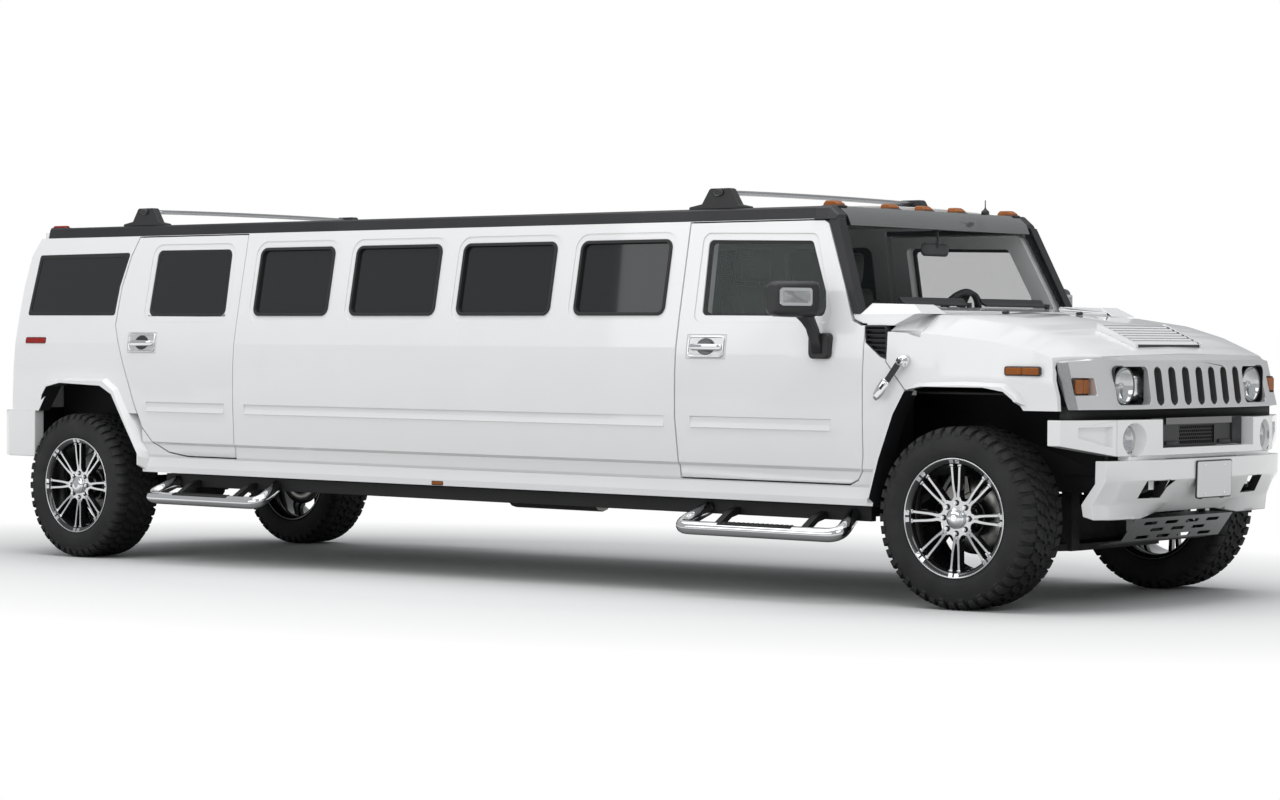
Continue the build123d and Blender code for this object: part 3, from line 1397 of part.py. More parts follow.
with BuildPart() as wipers:
    for y_pivot, y_tip in ((-90, -640), (620, 60)):
        with BuildSketch(Plane.XZ.offset(-max(y_pivot, y_tip))):
            with BuildLine():
                Polyline(*front([(-560, 1463), (-586, 1474), (-600, 1500), (-592, 1504),
                                 (-578, 1484), (-548, 1470)]), close=True)
            make_face()
        extrude(amount=abs(y_pivot - y_tip))
        with Locations((front_axle_x - 556, y_pivot, 1466)):
            Cylinder(13, 30)
    add(windscreen.part, mode=Mode.SUBTRACT)
    add(cowl.part, mode=Mode.SUBTRACT)
pieces["wipers"] = wipers

# --------------------------------------------------------------------- interior
dash_section = front([
    (-620, 1330), (-640, 1344), (-800, 1336), (-905, 1280), (-925, 1200), (-880, 1080),
    (-760, 1000), (-620, 980),
])
driver_y = 400
with BuildPart() as dashboard:
    with BuildSketch(Plane.XZ.offset(-862)):
        with BuildLine():
            Polyline(*dash_section, close=True)
        make_face()
    extrude(amount=2 * 862)
    with Locations((front_axle_x - 1240, 0, 760)):
        Box(640, 260, 272)
pieces["dashboard"] = dashboard

wheel_tilt = 26
steering_centre = (front_axle_x - 992, driver_y, 1389)
steering_plane = Plane(origin=steering_centre, x_dir=(0, 1, 0),
                       z_dir=(-cos(radians(wheel_tilt)), 0, sin(radians(wheel_tilt))))
with BuildPart() as steering_wheel:
    with BuildSketch(steering_plane):
        Circle(70)
        Rectangle(360, 44)
        with Locations((0, -90)):
            Rectangle(46, 180)
    extrude(amount=-22)
    with BuildSketch(steering_plane):
        Circle(192)
        Circle(163, mode=Mode.SUBTRACT)
    extrude(amount=-26)
    with BuildSketch(steering_plane):
        Circle(32)
    extrude(amount=-190)
    add(dashboard.part, mode=Mode.SUBTRACT)
pieces["steering_wheel"] = steering_wheel

# Seats stand on the floor pan: cushion, back and head restraint of each.
floor_top = floor_height + floor_thickness
seat_side = face(front([
    (-1130, floor_top), (-1130, 960), (-1100, 1010), (-1560, 985), (-1640, 1560), (-1640, 1590),
    (-1625, 1600), (-1630, 1745), (-1700, 1752), (-1735, 1600), (-1755, 1590), (-1780, 940),
    (-1740, floor_top),
]))
with BuildPart() as front_seats:
    for side in (-1, 1):
        extrude(Pos(0, -side * driver_y + 265, 0) * seat_side, amount=530)
pieces["front_seats"] = front_seats

lounge_section = [(300, floor_top), (300, 985), (330, 1010), (690, 1000), (740, 1390), (850, 1390),
                  (872, 1000), (872, floor_top)]        # distance to the left, height
lounge_rear_x = rear_axle_x + 1420
lounge_front_x = front_axle_x - 2150
rear_bench = face(rear([
    (180, 772), (180, 1120), (140, 1150), (-240, 1130), (-330, 1560), (-430, 1560), (-470, 1120),
    (-470, 772),
]))
with BuildPart() as lounge_seats:
    with BuildSketch(Plane.YZ.offset(lounge_rear_x)):
        with BuildLine():
            Polyline(*lounge_section, close=True)
        make_face()
    extrude(amount=lounge_front_x - lounge_rear_x)
    extrude(Pos(0, house_half_span - 10, 0) * rear_bench, amount=2 * house_half_span - 20)
pieces["lounge_seats"] = lounge_seats

for label, builder in pieces.items():
    finish(builder, label)
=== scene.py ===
from math import cos, pi, radians, sin, sqrt, tau

import bmesh
import bpy
from mathutils import Matrix, Vector


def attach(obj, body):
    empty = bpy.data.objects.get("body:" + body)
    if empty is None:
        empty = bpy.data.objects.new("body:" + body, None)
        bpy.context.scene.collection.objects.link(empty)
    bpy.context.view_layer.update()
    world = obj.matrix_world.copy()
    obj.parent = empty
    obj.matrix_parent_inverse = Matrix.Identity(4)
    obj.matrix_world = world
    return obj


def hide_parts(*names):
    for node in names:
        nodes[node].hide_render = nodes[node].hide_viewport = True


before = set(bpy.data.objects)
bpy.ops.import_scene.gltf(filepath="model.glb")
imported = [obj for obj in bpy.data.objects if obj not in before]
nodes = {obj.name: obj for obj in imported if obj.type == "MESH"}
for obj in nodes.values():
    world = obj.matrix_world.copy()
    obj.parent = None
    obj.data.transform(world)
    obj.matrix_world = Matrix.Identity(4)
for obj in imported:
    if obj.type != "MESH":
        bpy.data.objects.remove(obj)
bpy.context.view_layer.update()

scene = bpy.context.scene


def shift(x, y, z):
    return Matrix.Translation((x, y, z))


def spin(angle, axis="Y"):
    return Matrix.Rotation(angle, 4, axis)


# Pieces are built level, in metres: x ahead, y to the car's left, z up. The car stands
# nose-down about its middle, so each piece is then tilted into the row frame.
PIVOT = shift(0, 0, 0.7)
TILT = PIVOT @ spin(radians(0.567)) @ PIVOT.inverted()
LEVEL = TILT.inverted()
FX, RX = 3.18, -3.177
AXLES = ("front", FX, 0.4615), ("rear", RX, 0.3986)      # name, place, height of the hubs
HALF_TRACK = 0.8815
# Pieces of the sides are drawn for the left one.
SIDES = {"right": Matrix.Diagonal((1, -1, 1, 1)), "left": Matrix.Identity(4)}


# ------------------------------------------------------------------ materials
def tune(node, **values):
    """Sets a shader node's inputs, named with _ for each space."""
    for name, value in values.items():
        node.inputs[name.replace("_", " ")].default_value = value
    return node


def wire(tree, *links):
    """Links (node, output, node, input) in a shader's tree."""
    for source, out, target, into in links:
        tree.links.new(source.outputs[out], target.inputs[into])


def surface(name):
    """A new material, its node tree and its main shader."""
    mat = bpy.data.materials.new(name)
    mat.use_nodes = True
    return mat, mat.node_tree, mat.node_tree.nodes["Principled BSDF"]


def pattern(tree, kind, **values):
    """A texture that lies still on its piece."""
    texture = tune(tree.nodes.new("ShaderNodeTex" + kind), **values)
    wire(tree, (tree.nodes.new("ShaderNodeTexCoord"), "Object", texture, "Vector"))
    return texture


def emboss(tree, shader, texture, output, strength, distance):
    """Bump on a shader from a texture's output."""
    bump = tune(tree.nodes.new("ShaderNodeBump"), Strength=strength, Distance=distance)
    wire(tree, (texture, output, bump, "Height"), (bump, "Normal", shader, "Normal"))


def finish(name, colour, rough, metal=0.0, coat=0.0, sheen=0.0, mottle=0.04, mottle_scale=3.0,
           grain=0.0, grain_scale=400.0, rough_spread=0.05):
    """A surface whose base colour drifts a little, with uneven gloss, and fine grain as bump."""
    mat, tree, shader = surface(name)
    drift = pattern(tree, "Noise", Scale=mottle_scale, Detail=5)
    ramp = tree.nodes.new("ShaderNodeValToRGB")
    for stop, place, gain in zip(ramp.color_ramp.elements, (0.3, 0.7), (1 - mottle, 1 + mottle)):
        stop.position = place
        stop.color = (*(min(1, c * gain) for c in colour), 1)
    gloss = tune(tree.nodes.new("ShaderNodeMapRange"), To_Min=max(0.01, rough - rough_spread),
                 To_Max=min(1, rough + rough_spread))
    wire(tree, (drift, "Fac", ramp, "Fac"), (ramp, "Color", shader, "Base Color"),
         (drift, "Fac", gloss, "Value"), (gloss, "Result", shader, "Roughness"))
    tune(shader, Metallic=metal, Coat_Weight=coat, Coat_Roughness=0.04, Sheen_Weight=sheen)
    if grain:
        emboss(tree, shader, pattern(tree, "Noise", Scale=grain_scale, Detail=3), "Fac", grain, 0.001)
    return mat


def tinted_glass(name, tint, rough, cover):
    """A glossy skin over a see-through tint. cover is how much it hides of what is behind it."""
    mat = finish(name, tint, rough, mottle=0.02, rough_spread=0.005)
    tune(mat.node_tree.nodes["Principled BSDF"], Alpha=cover, Specular_IOR_Level=0.5, Coat_Weight=0.15,
         Coat_Roughness=0.01)
    return mat


def lens(name, colour, ribs=160):
    """Bright plastic with a grid of small prisms pressed into it."""
    mat = finish(name, colour, 0.22, coat=0.1, mottle=0.12, mottle_scale=40)
    tree = mat.node_tree
    shader = tune(tree.nodes["Principled BSDF"], Specular_IOR_Level=0.3)
    emboss(tree, shader, pattern(tree, "Voronoi", Scale=ribs, Randomness=0.0), "Distance", 0.5, 0.002)
    return mat


PAINT = finish("white_paint", (0.88, 0.883, 0.885), 0.32, coat=1.0, mottle=0.01, grain=0.03, grain_scale=900)
SILVER = finish("satin_silver", (0.76, 0.765, 0.77), 0.3, 0.6, 0.4, grain=0.05, grain_scale=1500)
CHROME = finish("chrome", (0.82, 0.83, 0.84), 0.07, 1, mottle=0.03, rough_spread=0.03)
MACHINED = finish("machined_metal", (0.72, 0.73, 0.74), 0.16, 1, mottle=0.05, grain=0.06, grain_scale=900)
# A dark colour for the grille slots' side walls: painted shade inside the slots.
PAINTED_SLOT_SHADE = finish("painted_slot_shade", (0.1, 0.101, 0.103), 0.4, 0.3, mottle=0.06, rough_spread=0.04)
# A darker copy of the satin silver, as painted shade: on the roof rack's bars, the grille surround's sideways
# ends and the lines along the hood vent's slats.
SHADED_SILVER = finish("painted_shade_silver", (0.4, 0.405, 0.41), 0.24, 0.9, mottle=0.05, grain=0.05, grain_scale=900)
# Grey gloss painted on the roof edge's front face over the windscreen: painted shade and reflection of the
# windscreen's top band.
PAINTED_SCREEN_SHADE = finish("painted_screen_shade", (0.1, 0.105, 0.105), 0.06, coat=1.0, mottle=0.05)
BLACK_TRIM = finish("black_trim", (0.018, 0.018, 0.02), 0.42, mottle=0.2, grain=0.12, grain_scale=1200)
BLACK_GLOSS = finish("black_gloss", (0.012, 0.012, 0.013), 0.12, coat=1.0, mottle=0.15)
RUBBER = finish("seal_rubber", (0.016, 0.016, 0.017), 0.62, mottle=0.2, grain=0.15, grain_scale=700)
TYRE = finish("tyre_rubber", (0.022, 0.022, 0.023), 0.78, mottle=0.35, mottle_scale=9, grain=0.35,
              grain_scale=500)
FRAME_BLACK = finish("frame_black", (0.014, 0.014, 0.015), 0.6, mottle=0.3, grain=0.2, grain_scale=250)
IRON = finish("cast_iron", (0.035, 0.034, 0.033), 0.7, 0.4, mottle=0.35, mottle_scale=14, grain=0.4,
              grain_scale=220)
STEEL = finish("brushed_steel", (0.36, 0.355, 0.34), 0.34, 1, mottle=0.12, mottle_scale=12, grain=0.1,
               grain_scale=700)
ALUMINIUM = finish("aluminium_plate", (0.5, 0.505, 0.51), 0.36, 1, mottle=0.08, grain=0.12, grain_scale=600)
DARK_GLASS = tinted_glass("dark_glass", (0.012, 0.014, 0.015), 0.03, 0.985)
LIGHT_GLASS = tinted_glass("light_glass", (0.035, 0.05, 0.047), 0.02, 0.05)
DOOR_GLASS = tinted_glass("door_glass", (0.03, 0.048, 0.043), 0.02, 0.31)
CLEAR = tinted_glass("clear_lens", (0.55, 0.57, 0.58), 0.03, 0.16)
AMBER = lens("amber_lens", (0.3, 0.082, 0.003))
RED = lens("red_lens", (0.3, 0.01, 0.008))
LEATHER = finish("black_leather", (0.028, 0.027, 0.026), 0.46, sheen=0.15, mottle=0.2, mottle_scale=8,
                 grain=0.5, grain_scale=420)
CABIN = finish("cabin_plastic", (0.05, 0.052, 0.054), 0.6, mottle=0.12, grain=0.35, grain_scale=520)
HEADLINER = finish("headliner_cloth", (0.2, 0.205, 0.2), 0.9, sheen=0.3, mottle=0.1, grain=0.4,
                   grain_scale=900)
CARPET = finish("floor_carpet", (0.03, 0.03, 0.032), 0.95, sheen=0.3, mottle=0.3, mottle_scale=30, grain=0.8,
                grain_scale=300)
PLATE = finish("blank_plate", (0.78, 0.785, 0.79), 0.35, coat=0.4, mottle=0.02)


# --------------------------------------------------------------------- shapes
# Each takes (a, b) across an axis and c along it.
AXES = {"x": lambda a, b, c: (c, a, b), "y": lambda a, b, c: (a, c, b), "z": lambda a, b, c: (a, b, c)}


def circle(radius, steps):
    return [(radius * sin(tau * k / steps), radius * cos(tau * k / steps)) for k in range(steps)]


def oval(wide, tall, steps):
    return [(wide * cos(tau * k / steps), tall * sin(tau * k / steps)) for k in range(steps)]


def rounded(width, height, radius, steps=4):
    """Outline of a rectangle with rounded corners, about the origin."""
    radius = min(radius, width / 2 - 1e-5, height / 2 - 1e-5)
    outline = []
    for cx, cy, start in ((1, 1, 0), (-1, 1, 1), (-1, -1, 2), (1, -1, 3)):
        for k in range(steps + 1):
            angle = (start + k / steps) * pi / 2
            outline.append((cx * (width / 2 - radius) + radius * cos(angle),
                            cy * (height / 2 - radius) + radius * sin(angle)))
    return outline


def corners(points, radius, steps=5):
    """A polygon of (a, b) corners with each rounded off by an arc."""
    outline = []
    for i, (a, b) in enumerate(points):
        here, before, after = Vector((a, b)), Vector(points[i - 1]), Vector(points[(i + 1) % len(points)])
        one, two = (before - here).normalized(), (after - here).normalized()
        half = max(0.05, one.angle(two) / 2)
        room = min((before - here).length, (after - here).length) * 0.45
        run = min(radius / abs(sin(half) / cos(half)), room)
        for k in range(steps + 1):
            t = k / steps
            p = (here + one * run).lerp(here, t).lerp(here.lerp(here + two * run, t), t)
            outline.append((p.x, p.y))
    return outline


def shrunk(points, amount):
    """A convex outline drawn in by about `amount` all round."""
    ca = sum(p[0] for p in points) / len(points)
    cb = sum(p[1] for p in points) / len(points)
    wide = max(abs(p[0] - ca) for p in points)
    tall = max(abs(p[1] - cb) for p in points)
    return [(ca + (a - ca) * (1 - amount / wide), cb + (b - cb) * (1 - amount / tall)) for a, b in points]


class Shape:
    """A mesh under way, whose points are given in the level frame, or in a local frame `at` inside it."""

    def __init__(self, *materials, at=Matrix.Identity(4)):
        self.mesh = bmesh.new()
        self.materials = materials
        self.at = at

    def skin(self, rings, mat=0, closed=True, wrap=False, smooth=True):
        """Skins rings of equally many points. closed joins a ring's ends, wrap the last ring to the first."""
        rows = [[self.mesh.verts.new(self.at @ Vector(p)) for p in ring] for ring in rings]
        for low, high in zip(rows, rows[1:] + rows[:1] * wrap):
            count = len(low)
            for i in range(count if closed else count - 1):
                j = (i + 1) % count
                self._face((low[i], low[j], high[j], high[i]), mat, smooth)
        if closed and not wrap:
            self._face(rows[0][::-1], mat, False)
            self._face(rows[-1], mat, False)

    def _face(self, verts, mat, smooth):
        face = self.mesh.faces.new(verts)
        face.material_index = mat
        face.smooth = smooth

    def facets(self, rings, mat=0, **how):
        """A skin with flat faces."""
        self.skin(rings, mat, smooth=False, **how)

    def ring(self, outer, inner, low, high, place, mat=0, smooth=False):
        """A frame between two outlines with equally many points. place maps (a, b, depth) to a point."""
        self.skin([[place(a, b, d) for a, b in line] for line, d in
                   ((outer, low), (outer, high), (inner, high), (inner, low))], mat, wrap=True, smooth=smooth)

    def prism(self, outline, low, high, axis="x", mat=0):
        """An outline of (a, b) pairs pushed from low to high along an axis."""
        self.facets([[AXES[axis](a, b, c) for a, b in outline] for c in (low, high)], mat)

    def block(self, centre, size, edge=0.0, mat=0):
        """A box whose edges are rounded off by `edge`."""
        cx, cy, cz = centre
        hx, hy, hz = (s / 2 for s in size)
        self.skin([[(cx + x, cy + y, cz + z) for x, y in
                    rounded(2 * (hx - cut), 2 * (hy - cut), max(edge, 0.0005), 2)]
                   for z, cut in ((-hz, edge), (-hz + edge, 0), (hz - edge, 0), (hz, edge))],
                  mat, smooth=edge > 0)

    def turned(self, profile, steps=48, mat=0, axis="x"):
        """A profile of (radius, distance along the axis) turned about that axis of the local frame."""
        self.skin([[AXES[axis](r * s, r * c, u) for r, u in profile] for s, c in circle(1, steps)], mat,
                  wrap=True)

    def tube(self, path, radius, sides=10):
        """A round bar along a path. radius is one number, or a list with one for each point."""
        points = [Vector(p) for p in path]
        rings = []
        for i, p in enumerate(points):
            run = (points[min(i + 1, len(points) - 1)] - points[max(i - 1, 0)]).normalized()
            side = run.cross(Vector((0, 0, 1)))
            side = side.normalized() if side.length > 0.05 else Vector((1, 0, 0))
            up = side.cross(run).normalized()
            size = radius[i] if isinstance(radius, list) else radius
            rings.append([p + size * (c * side + s * up) for c, s in oval(1, 1, sides)])
        self.skin(rings)

    def copy_turned(self, count):
        """Repeats what is built so far around the local frame's Y axis."""
        source = list(self.mesh.faces)
        for k in range(1, count):
            made = bmesh.ops.duplicate(self.mesh, geom=source)
            bmesh.ops.transform(self.mesh, matrix=self.at @ spin(tau * k / count) @ self.at.inverted(),
                                verts=[g for g in made["geom"] if isinstance(g, bmesh.types.BMVert)])

    def placed(self, name):
        """Closes the mesh into an object in the row frame."""
        bmesh.ops.recalc_face_normals(self.mesh, faces=self.mesh.faces)
        data = bpy.data.meshes.new(name)
        self.mesh.to_mesh(data)
        self.mesh.free()
        data.transform(TILT)
        for mat in self.materials:
            data.materials.append(mat)
        obj = bpy.data.objects.new(name, data)
        scene.collection.objects.link(obj)
        return obj

    def done(self, name, body, slot, replaces=(), bevel=0.0, weld=True):
        """Closes the mesh into a piece that rides on a body of the car."""
        if weld:
            bmesh.ops.remove_doubles(self.mesh, verts=self.mesh.verts, dist=1e-6)
        piece = self.placed(name)
        if bevel:
            round_edges(piece, bevel)
        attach(piece, body)
        if replaces:
            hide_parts(*replaces)
        return piece


def round_edges(obj, width, clamp=False):
    bevel = obj.modifiers.new("edge", "BEVEL")
    bevel.width = width
    bevel.segments = 2
    bevel.limit_method = "ANGLE"
    bevel.angle_limit = radians(28)
    bevel.use_clamp_overlap = clamp
    bevel.harden_normals = True


# --------------------------------------------------------- the CAD's own pieces
def dress(node, mat, bevel=0.0, patches=(), flat=False, clamp=False):
    """Gives a CAD node its finish. patches are (material, test of a face's centre and normal)."""
    obj = nodes[node]
    data = obj.data
    data.materials.clear()
    data.materials.append(mat)
    custom = data.attributes.get("custom_normal")
    if custom:
        data.attributes.remove(custom)
    data.polygons.foreach_set("use_smooth", [not flat] * len(data.polygons))
    data.polygons.foreach_set("material_index", [0] * len(data.polygons))
    for k, (patch, test) in enumerate(patches, 1):
        data.materials.append(patch)
        for face in data.polygons:
            if test(LEVEL @ face.center, face.normal):
                face.material_index = k
    if flat:
        return
    obj.modifiers.new("weld", "WELD").merge_threshold = 0.00005
    joined = obj.modifiers.new("flat", "DECIMATE")
    joined.decimate_type = "DISSOLVE"
    joined.angle_limit = radians(0.4)
    joined.delimit = {"MATERIAL"}
    if bevel:
        round_edges(obj, bevel, clamp)


ARCH_REACH = 0.82


def in_arch(p, n):
    """True on the faces of a wheel opening that look at the wheel."""
    for _, x, hub in AXLES:
        away = Vector((p.x - x, 0, p.z - hub))
        if away.length < ARCH_REACH and abs(n.y) < 0.5 and n.dot(away.normalized()) < -0.5:
            return True
    return False


# Faces inside the tow openings, which are painted black as the shade in them.
def in_tow_opening_shade(p, n):
    return 0.34 < abs(p.y) < 0.57 and 0.55 < p.z < 0.66 and (abs(n.x) < 0.6 and abs(n.z) < 0.98 or n.x < -0.5)


def in_slot(p):
    return abs(p.y) < 0.41 and 0.985 < p.z < 1.185


# Nodes that a finer piece replaces further down are not shown, and get no finish here.
for side in SIDES:
    for node, mat, bevel in (("front_door", PAINT, 0.003), ("rear_door", PAINT, 0.003),
                             ("knuckle", IRON, 0.003)):
        dress(f"{node}_{side}", mat, bevel)
    dress(f"body_side_{side}", PAINT, patches=[(BLACK_TRIM, in_arch)], flat=True)
    dress(f"front_door_glass_{side}", DOOR_GLASS, flat=True)
    dress(f"rear_door_glass_{side}", DARK_GLASS, flat=True)
for mat, bevel, names in (
    (PAINT, 0.004, "roof_panel cowl tailgate"), (PAINT, 0.006, "rear_bumper"),
    (RUBBER, 0.003, "window_seals"), (BLACK_TRIM, 0.001, "wipers"), (RED, 0.002, "red_lamps"),
    (ALUMINIUM, 0.001, "skid_plate"),
    (FRAME_BLACK, 0.003, "ladder_frame fuel_tank"), (FRAME_BLACK, 0, "floor_pan inner_fenders"),
    (IRON, 0.01, "engine"), (IRON, 0.002, "rear_axle"), (IRON, 0.003, "front_suspension"),
    (STEEL, 0.001, "prop_shaft exhaust"), (CABIN, 0.008, "dashboard"), (CABIN, 0, "steering_wheel"),
):
    for node in names.split():
        dress(node, mat, bevel)
for node, mat in (("side_windows", DARK_GLASS), ("windscreen", LIGHT_GLASS), ("tailgate_glass", DARK_GLASS)):
    dress(node, mat, flat=True)
# The bumper's faces inside its tow openings are painted black as shade.
dress("front_bumper", PAINT, 0.004, [(FRAME_BLACK, in_tow_opening_shade)])
# The slots' side walls are painted dark as the shade inside them.
dress("grille_surround", SILVER, 0.003, [
    (PAINTED_SLOT_SHADE, lambda p, n: in_slot(p) and abs(n.y) > 0.6),
    (CHROME, lambda p, n: in_slot(p) and abs(n.y) <= 0.6 and n.z > 0.35),
    # The surround's sideways ends take the darker silver: painted shade.
    (SHADED_SILVER, lambda p, n: abs(p.y) > 0.90 and abs(n.y) > 0.6)])
dress("hood", PAINT, 0.005, clamp=True)
dress("hood_vent", PAINT, 0.001, [(BLACK_TRIM, lambda p, n: n.x > 0.85 and abs(p.y) < 0.29)])
# The roof edge's front face over the windscreen gets the grey gloss: painted shade and reflection.
dress("roof_edges", BLACK_TRIM, 0.004,
      [(PAINTED_SCREEN_SHADE, lambda p, n: abs(p.y) < 0.8 and p.x > FX - 0.95 and n.x > 0.4)])


def carve(node, body, shape, name):
    """Cuts a hidden shape out of a CAD piece as it is drawn."""
    tool = shape.placed(name)
    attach(tool, body)
    tool.hide_render = tool.hide_viewport = True
    stack = nodes[node].modifiers
    cut = stack.new(name, "BOOLEAN")
    cut.operation = "DIFFERENCE"
    cut.solver = "EXACT"
    cut.object = tool
    stack.move(len(stack) - 1, 1)


# --------------------------------------------------------------------- wheels
# Profiles are (radius, distance outboard of the wheel's middle).
SIDEWALL = [(0.2695, 0.128), (0.284, 0.1295), (0.2875, 0.1405), (0.293, 0.1445), (0.2985, 0.144),
            (0.302, 0.147), (0.32, 0.1505), (0.342, 0.1522), (0.36, 0.1524), (0.364, 0.1515),
            (0.38, 0.1508), (0.391, 0.1488), (0.399, 0.144), (0.408, 0.134), (0.416, 0.118)]
CARCASS = [(0.2685, 0)] + SIDEWALL + [(0.418, 0)] + [(r, -u) for r, u in reversed(SIDEWALL)]
BARREL = [(0.25, 0), (0.2515, 0.09), (0.253, 0.124), (0.262, 0.132), (0.2725, 0.138), (0.279, 0.1392),
          (0.2825, 0.1385), (0.2828, 0.1345), (0.268, 0.1275), (0.262, 0.1), (0.26, 0), (0.262, -0.1),
          (0.268, -0.1275), (0.2828, -0.1345), (0.2828, -0.14), (0.274, -0.14), (0.256, -0.124),
          (0.252, -0.06)]
LIP = [(0.2752, 0.1388), (0.276, 0.1416), (0.282, 0.1418), (0.2835, 0.14), (0.2832, 0.1372)]
CAP = [(0, 0.14), (0.018, 0.1396), (0.033, 0.1375), (0.042, 0.133), (0.0455, 0.129), (0.048, 0.1288),
       (0.05, 0.1265), (0.05, 0.112), (0, 0.112)]
# A tread block's stations are (distance outboard, its two sides along the tread, top radius).
LUGS, TREAD_RADIUS = 45, 0.43
SHOULDER_LUG = [(0.086, -0.013, 0.017, 0.4285), (0.104, -0.019, 0.019, 0.4295),
                (0.12, -0.021, 0.019, 0.4285), (0.136, -0.021, 0.018, 0.424), (0.146, -0.019, 0.016, 0.416),
                (0.1515, -0.017, 0.014, 0.404), (0.1518, -0.014, 0.011, 0.393)]
MIDDLE_LUG = [(0.023, -0.026, 0.004, 0.4295), (0.04, -0.026, 0.006, 0.4298), (0.056, -0.008, 0.024, 0.4298),
              (0.077, -0.006, 0.024, 0.4292)]
CENTRE_LUG = [(-0.018, -0.025, 0.005, 0.4298), (-0.004, -0.023, 0.009, 0.43), (0.004, -0.009, 0.023, 0.43),
              (0.018, -0.005, 0.025, 0.4298)]
# Half a twin spoke: distance from the hub, place aside, half width, distance outboard.
SPOKE = [(0.078, 0.0085, 0.0095, 0.112), (0.112, 0.0095, 0.0085, 0.115), (0.132, 0.0135, 0.0075, 0.117),
         (0.165, 0.017, 0.0068, 0.1195), (0.215, 0.02, 0.0068, 0.1225), (0.248, 0.0225, 0.0074, 0.124)]
CLIP = [[(0.004, 0.1345, 0.258), (0.026, 0.134, 0.256), (0.03, 0.137, 0.27), (0.029, 0.1402, 0.2745),
         (0.006, 0.1402, 0.276)],
        [(0.004, 0.129, 0.259), (0.026, 0.1285, 0.257), (0.03, 0.132, 0.272), (0.029, 0.134, 0.2775),
         (0.006, 0.134, 0.279)]]


def lug(shape, stations, turn, way=1):
    """One tread block, at an angle round the tyre."""
    rings = []
    for u, left, right, top in stations:
        low = min(0.415, top - 0.016)
        angled = [(turn + way * along / TREAD_RADIUS, r) for along, r in
                  ((left, low), (left, top), (right, top), (right, low))]
        rings.append([(r * sin(a), way * u, r * cos(a)) for a, r in angled])
    shape.facets(rings)


def tyre(name, body, node, at):
    shape = Shape(TYRE, at=at)
    shape.turned(CARCASS, 120, axis="y")
    for k in range(LUGS):
        turn = tau * k / LUGS
        longer = 0.004 * (k % 2)
        shoulder = [(u + longer * i / 6, a, b, r) for i, (u, a, b, r) in enumerate(SHOULDER_LUG[:-1])]
        shoulder += SHOULDER_LUG[-1:] if k % 2 else []
        for way in (-1, 1):
            lug(shape, shoulder, turn + (way > 0) * pi / LUGS, way)
            lug(shape, MIDDLE_LUG, turn + (way > 0) * pi / LUGS + 0.03, way)
        lug(shape, CENTRE_LUG, turn + 0.04)
    shape.done(name, body, "tyre", (node,), weld=False)


def spoke(shape, aside):
    """One bar of a twin spoke, from the hub to the rim, with its bright face and its foot's bright pad."""
    sides, faces = [], []
    for rho, middle, half, top in SPOKE:
        a, b = aside * middle - half, aside * middle + half
        sides.append([(a - 0.003, top - 0.034, rho), (a, top - 0.001, rho), (b, top - 0.001, rho),
                      (b + 0.003, top - 0.034, rho)])
        faces.append([(a + 0.0008, top - 0.003, rho), (a + 0.0018, top, rho), (b - 0.0018, top, rho),
                      (b - 0.0008, top - 0.003, rho)])
    shape.facets(sides)
    shape.facets(faces, 1)
    shape.block((aside * 0.0225, 0.108, 0.25), (0.02, 0.035, 0.008), 0.002)
    shape.block((aside * 0.0225, 0.1245, 0.2475), (0.0215, 0.007, 0.013), 0.002, 1)


def rim(name, body, node, at):
    """Eight twin spokes, each with its clip and wheel nut, on a star plate inside the barrel."""
    shape = Shape(BLACK_GLOSS, MACHINED, CHROME, BLACK_TRIM, at=at)
    for aside in (-1, 1):
        spoke(shape, aside)
    for aside in (-1, 1):
        shape.facets([[(aside * a, u, r) for a, u, r in line] for line in CLIP], 1)
    shape.block((0, 0.1325, 0.265), (0.009, 0.009, 0.02), 0.001, 3)
    for radius, steps, low, high, mat in ((0.0145, 16, 0.112, 0.1136, 3), (0.0092, 6, 0.112, 0.126, 2),
                                          (0.006, 12, 0.1255, 0.13, 2)):
        shape.skin([[(a, u, 0.072 + b) for a, b in circle(radius, steps)] for u in (low, high)], mat,
                   smooth=steps > 6)
    shape.copy_turned(8)
    star = []
    for k in range(160):
        angle = tau * k / 160
        star.append((0.088 + 0.034 * (0.5 + 0.5 * cos(8 * angle)) ** 1.6, angle))
    for mat, levels in ((0, ((1.03, 0.076), (1, 0.109))),
                        (1, ((0.99, 0.108), (0.985, 0.112), (0.97, 0.1128)))):
        shape.facets([[(r * k * sin(a), u, r * k * cos(a)) for r, a in star] for k, u in levels], mat)
    shape.turned(BARREL, 96, axis="y")
    shape.turned(LIP, 96, 1, "y")
    shape.turned(CAP, 48, 2, "y")
    shape.turned([(0, 0.076), (0.088, 0.076), (0.088, -0.036), (0, -0.036)], 40, axis="y")
    shape.done(name, body, "rim_black", (node,), weld=False)


def brake(name, wheel, carrier, at, lean):
    """A vented disc that turns with the wheel, and a calliper over it that doesn't."""
    disc = Shape(STEEL, FRAME_BLACK, at=at)
    disc.turned([(0.09, -0.04), (0.092, -0.0395), (0.176, -0.0395), (0.177, -0.048), (0.177, -0.058),
                 (0.09, -0.059)], 64, axis="y")
    disc.turned([(0.03, -0.036), (0.091, -0.036), (0.093, -0.04), (0.093, -0.06), (0.03, -0.06)], 40, 1, "y")
    disc.done(f"{name}_disc", wheel, "iron", weld=False)
    grip = Shape(STEEL, at=at @ spin(lean))
    grip.facets([[(r * sin(a), u, r * cos(a)) for r, u in
                  ((0.118, -0.03), (0.196, -0.026), (0.204, -0.034), (0.204, -0.074), (0.118, -0.074),
                   (0.118, -0.062), (0.182, -0.062), (0.182, -0.036), (0.118, -0.036))]
                 for a in (-0.42, -0.38, -0.2, 0, 0.2, 0.38, 0.42)])
    grip.done(f"{name}_calliper", carrier, "iron", bevel=0.003)


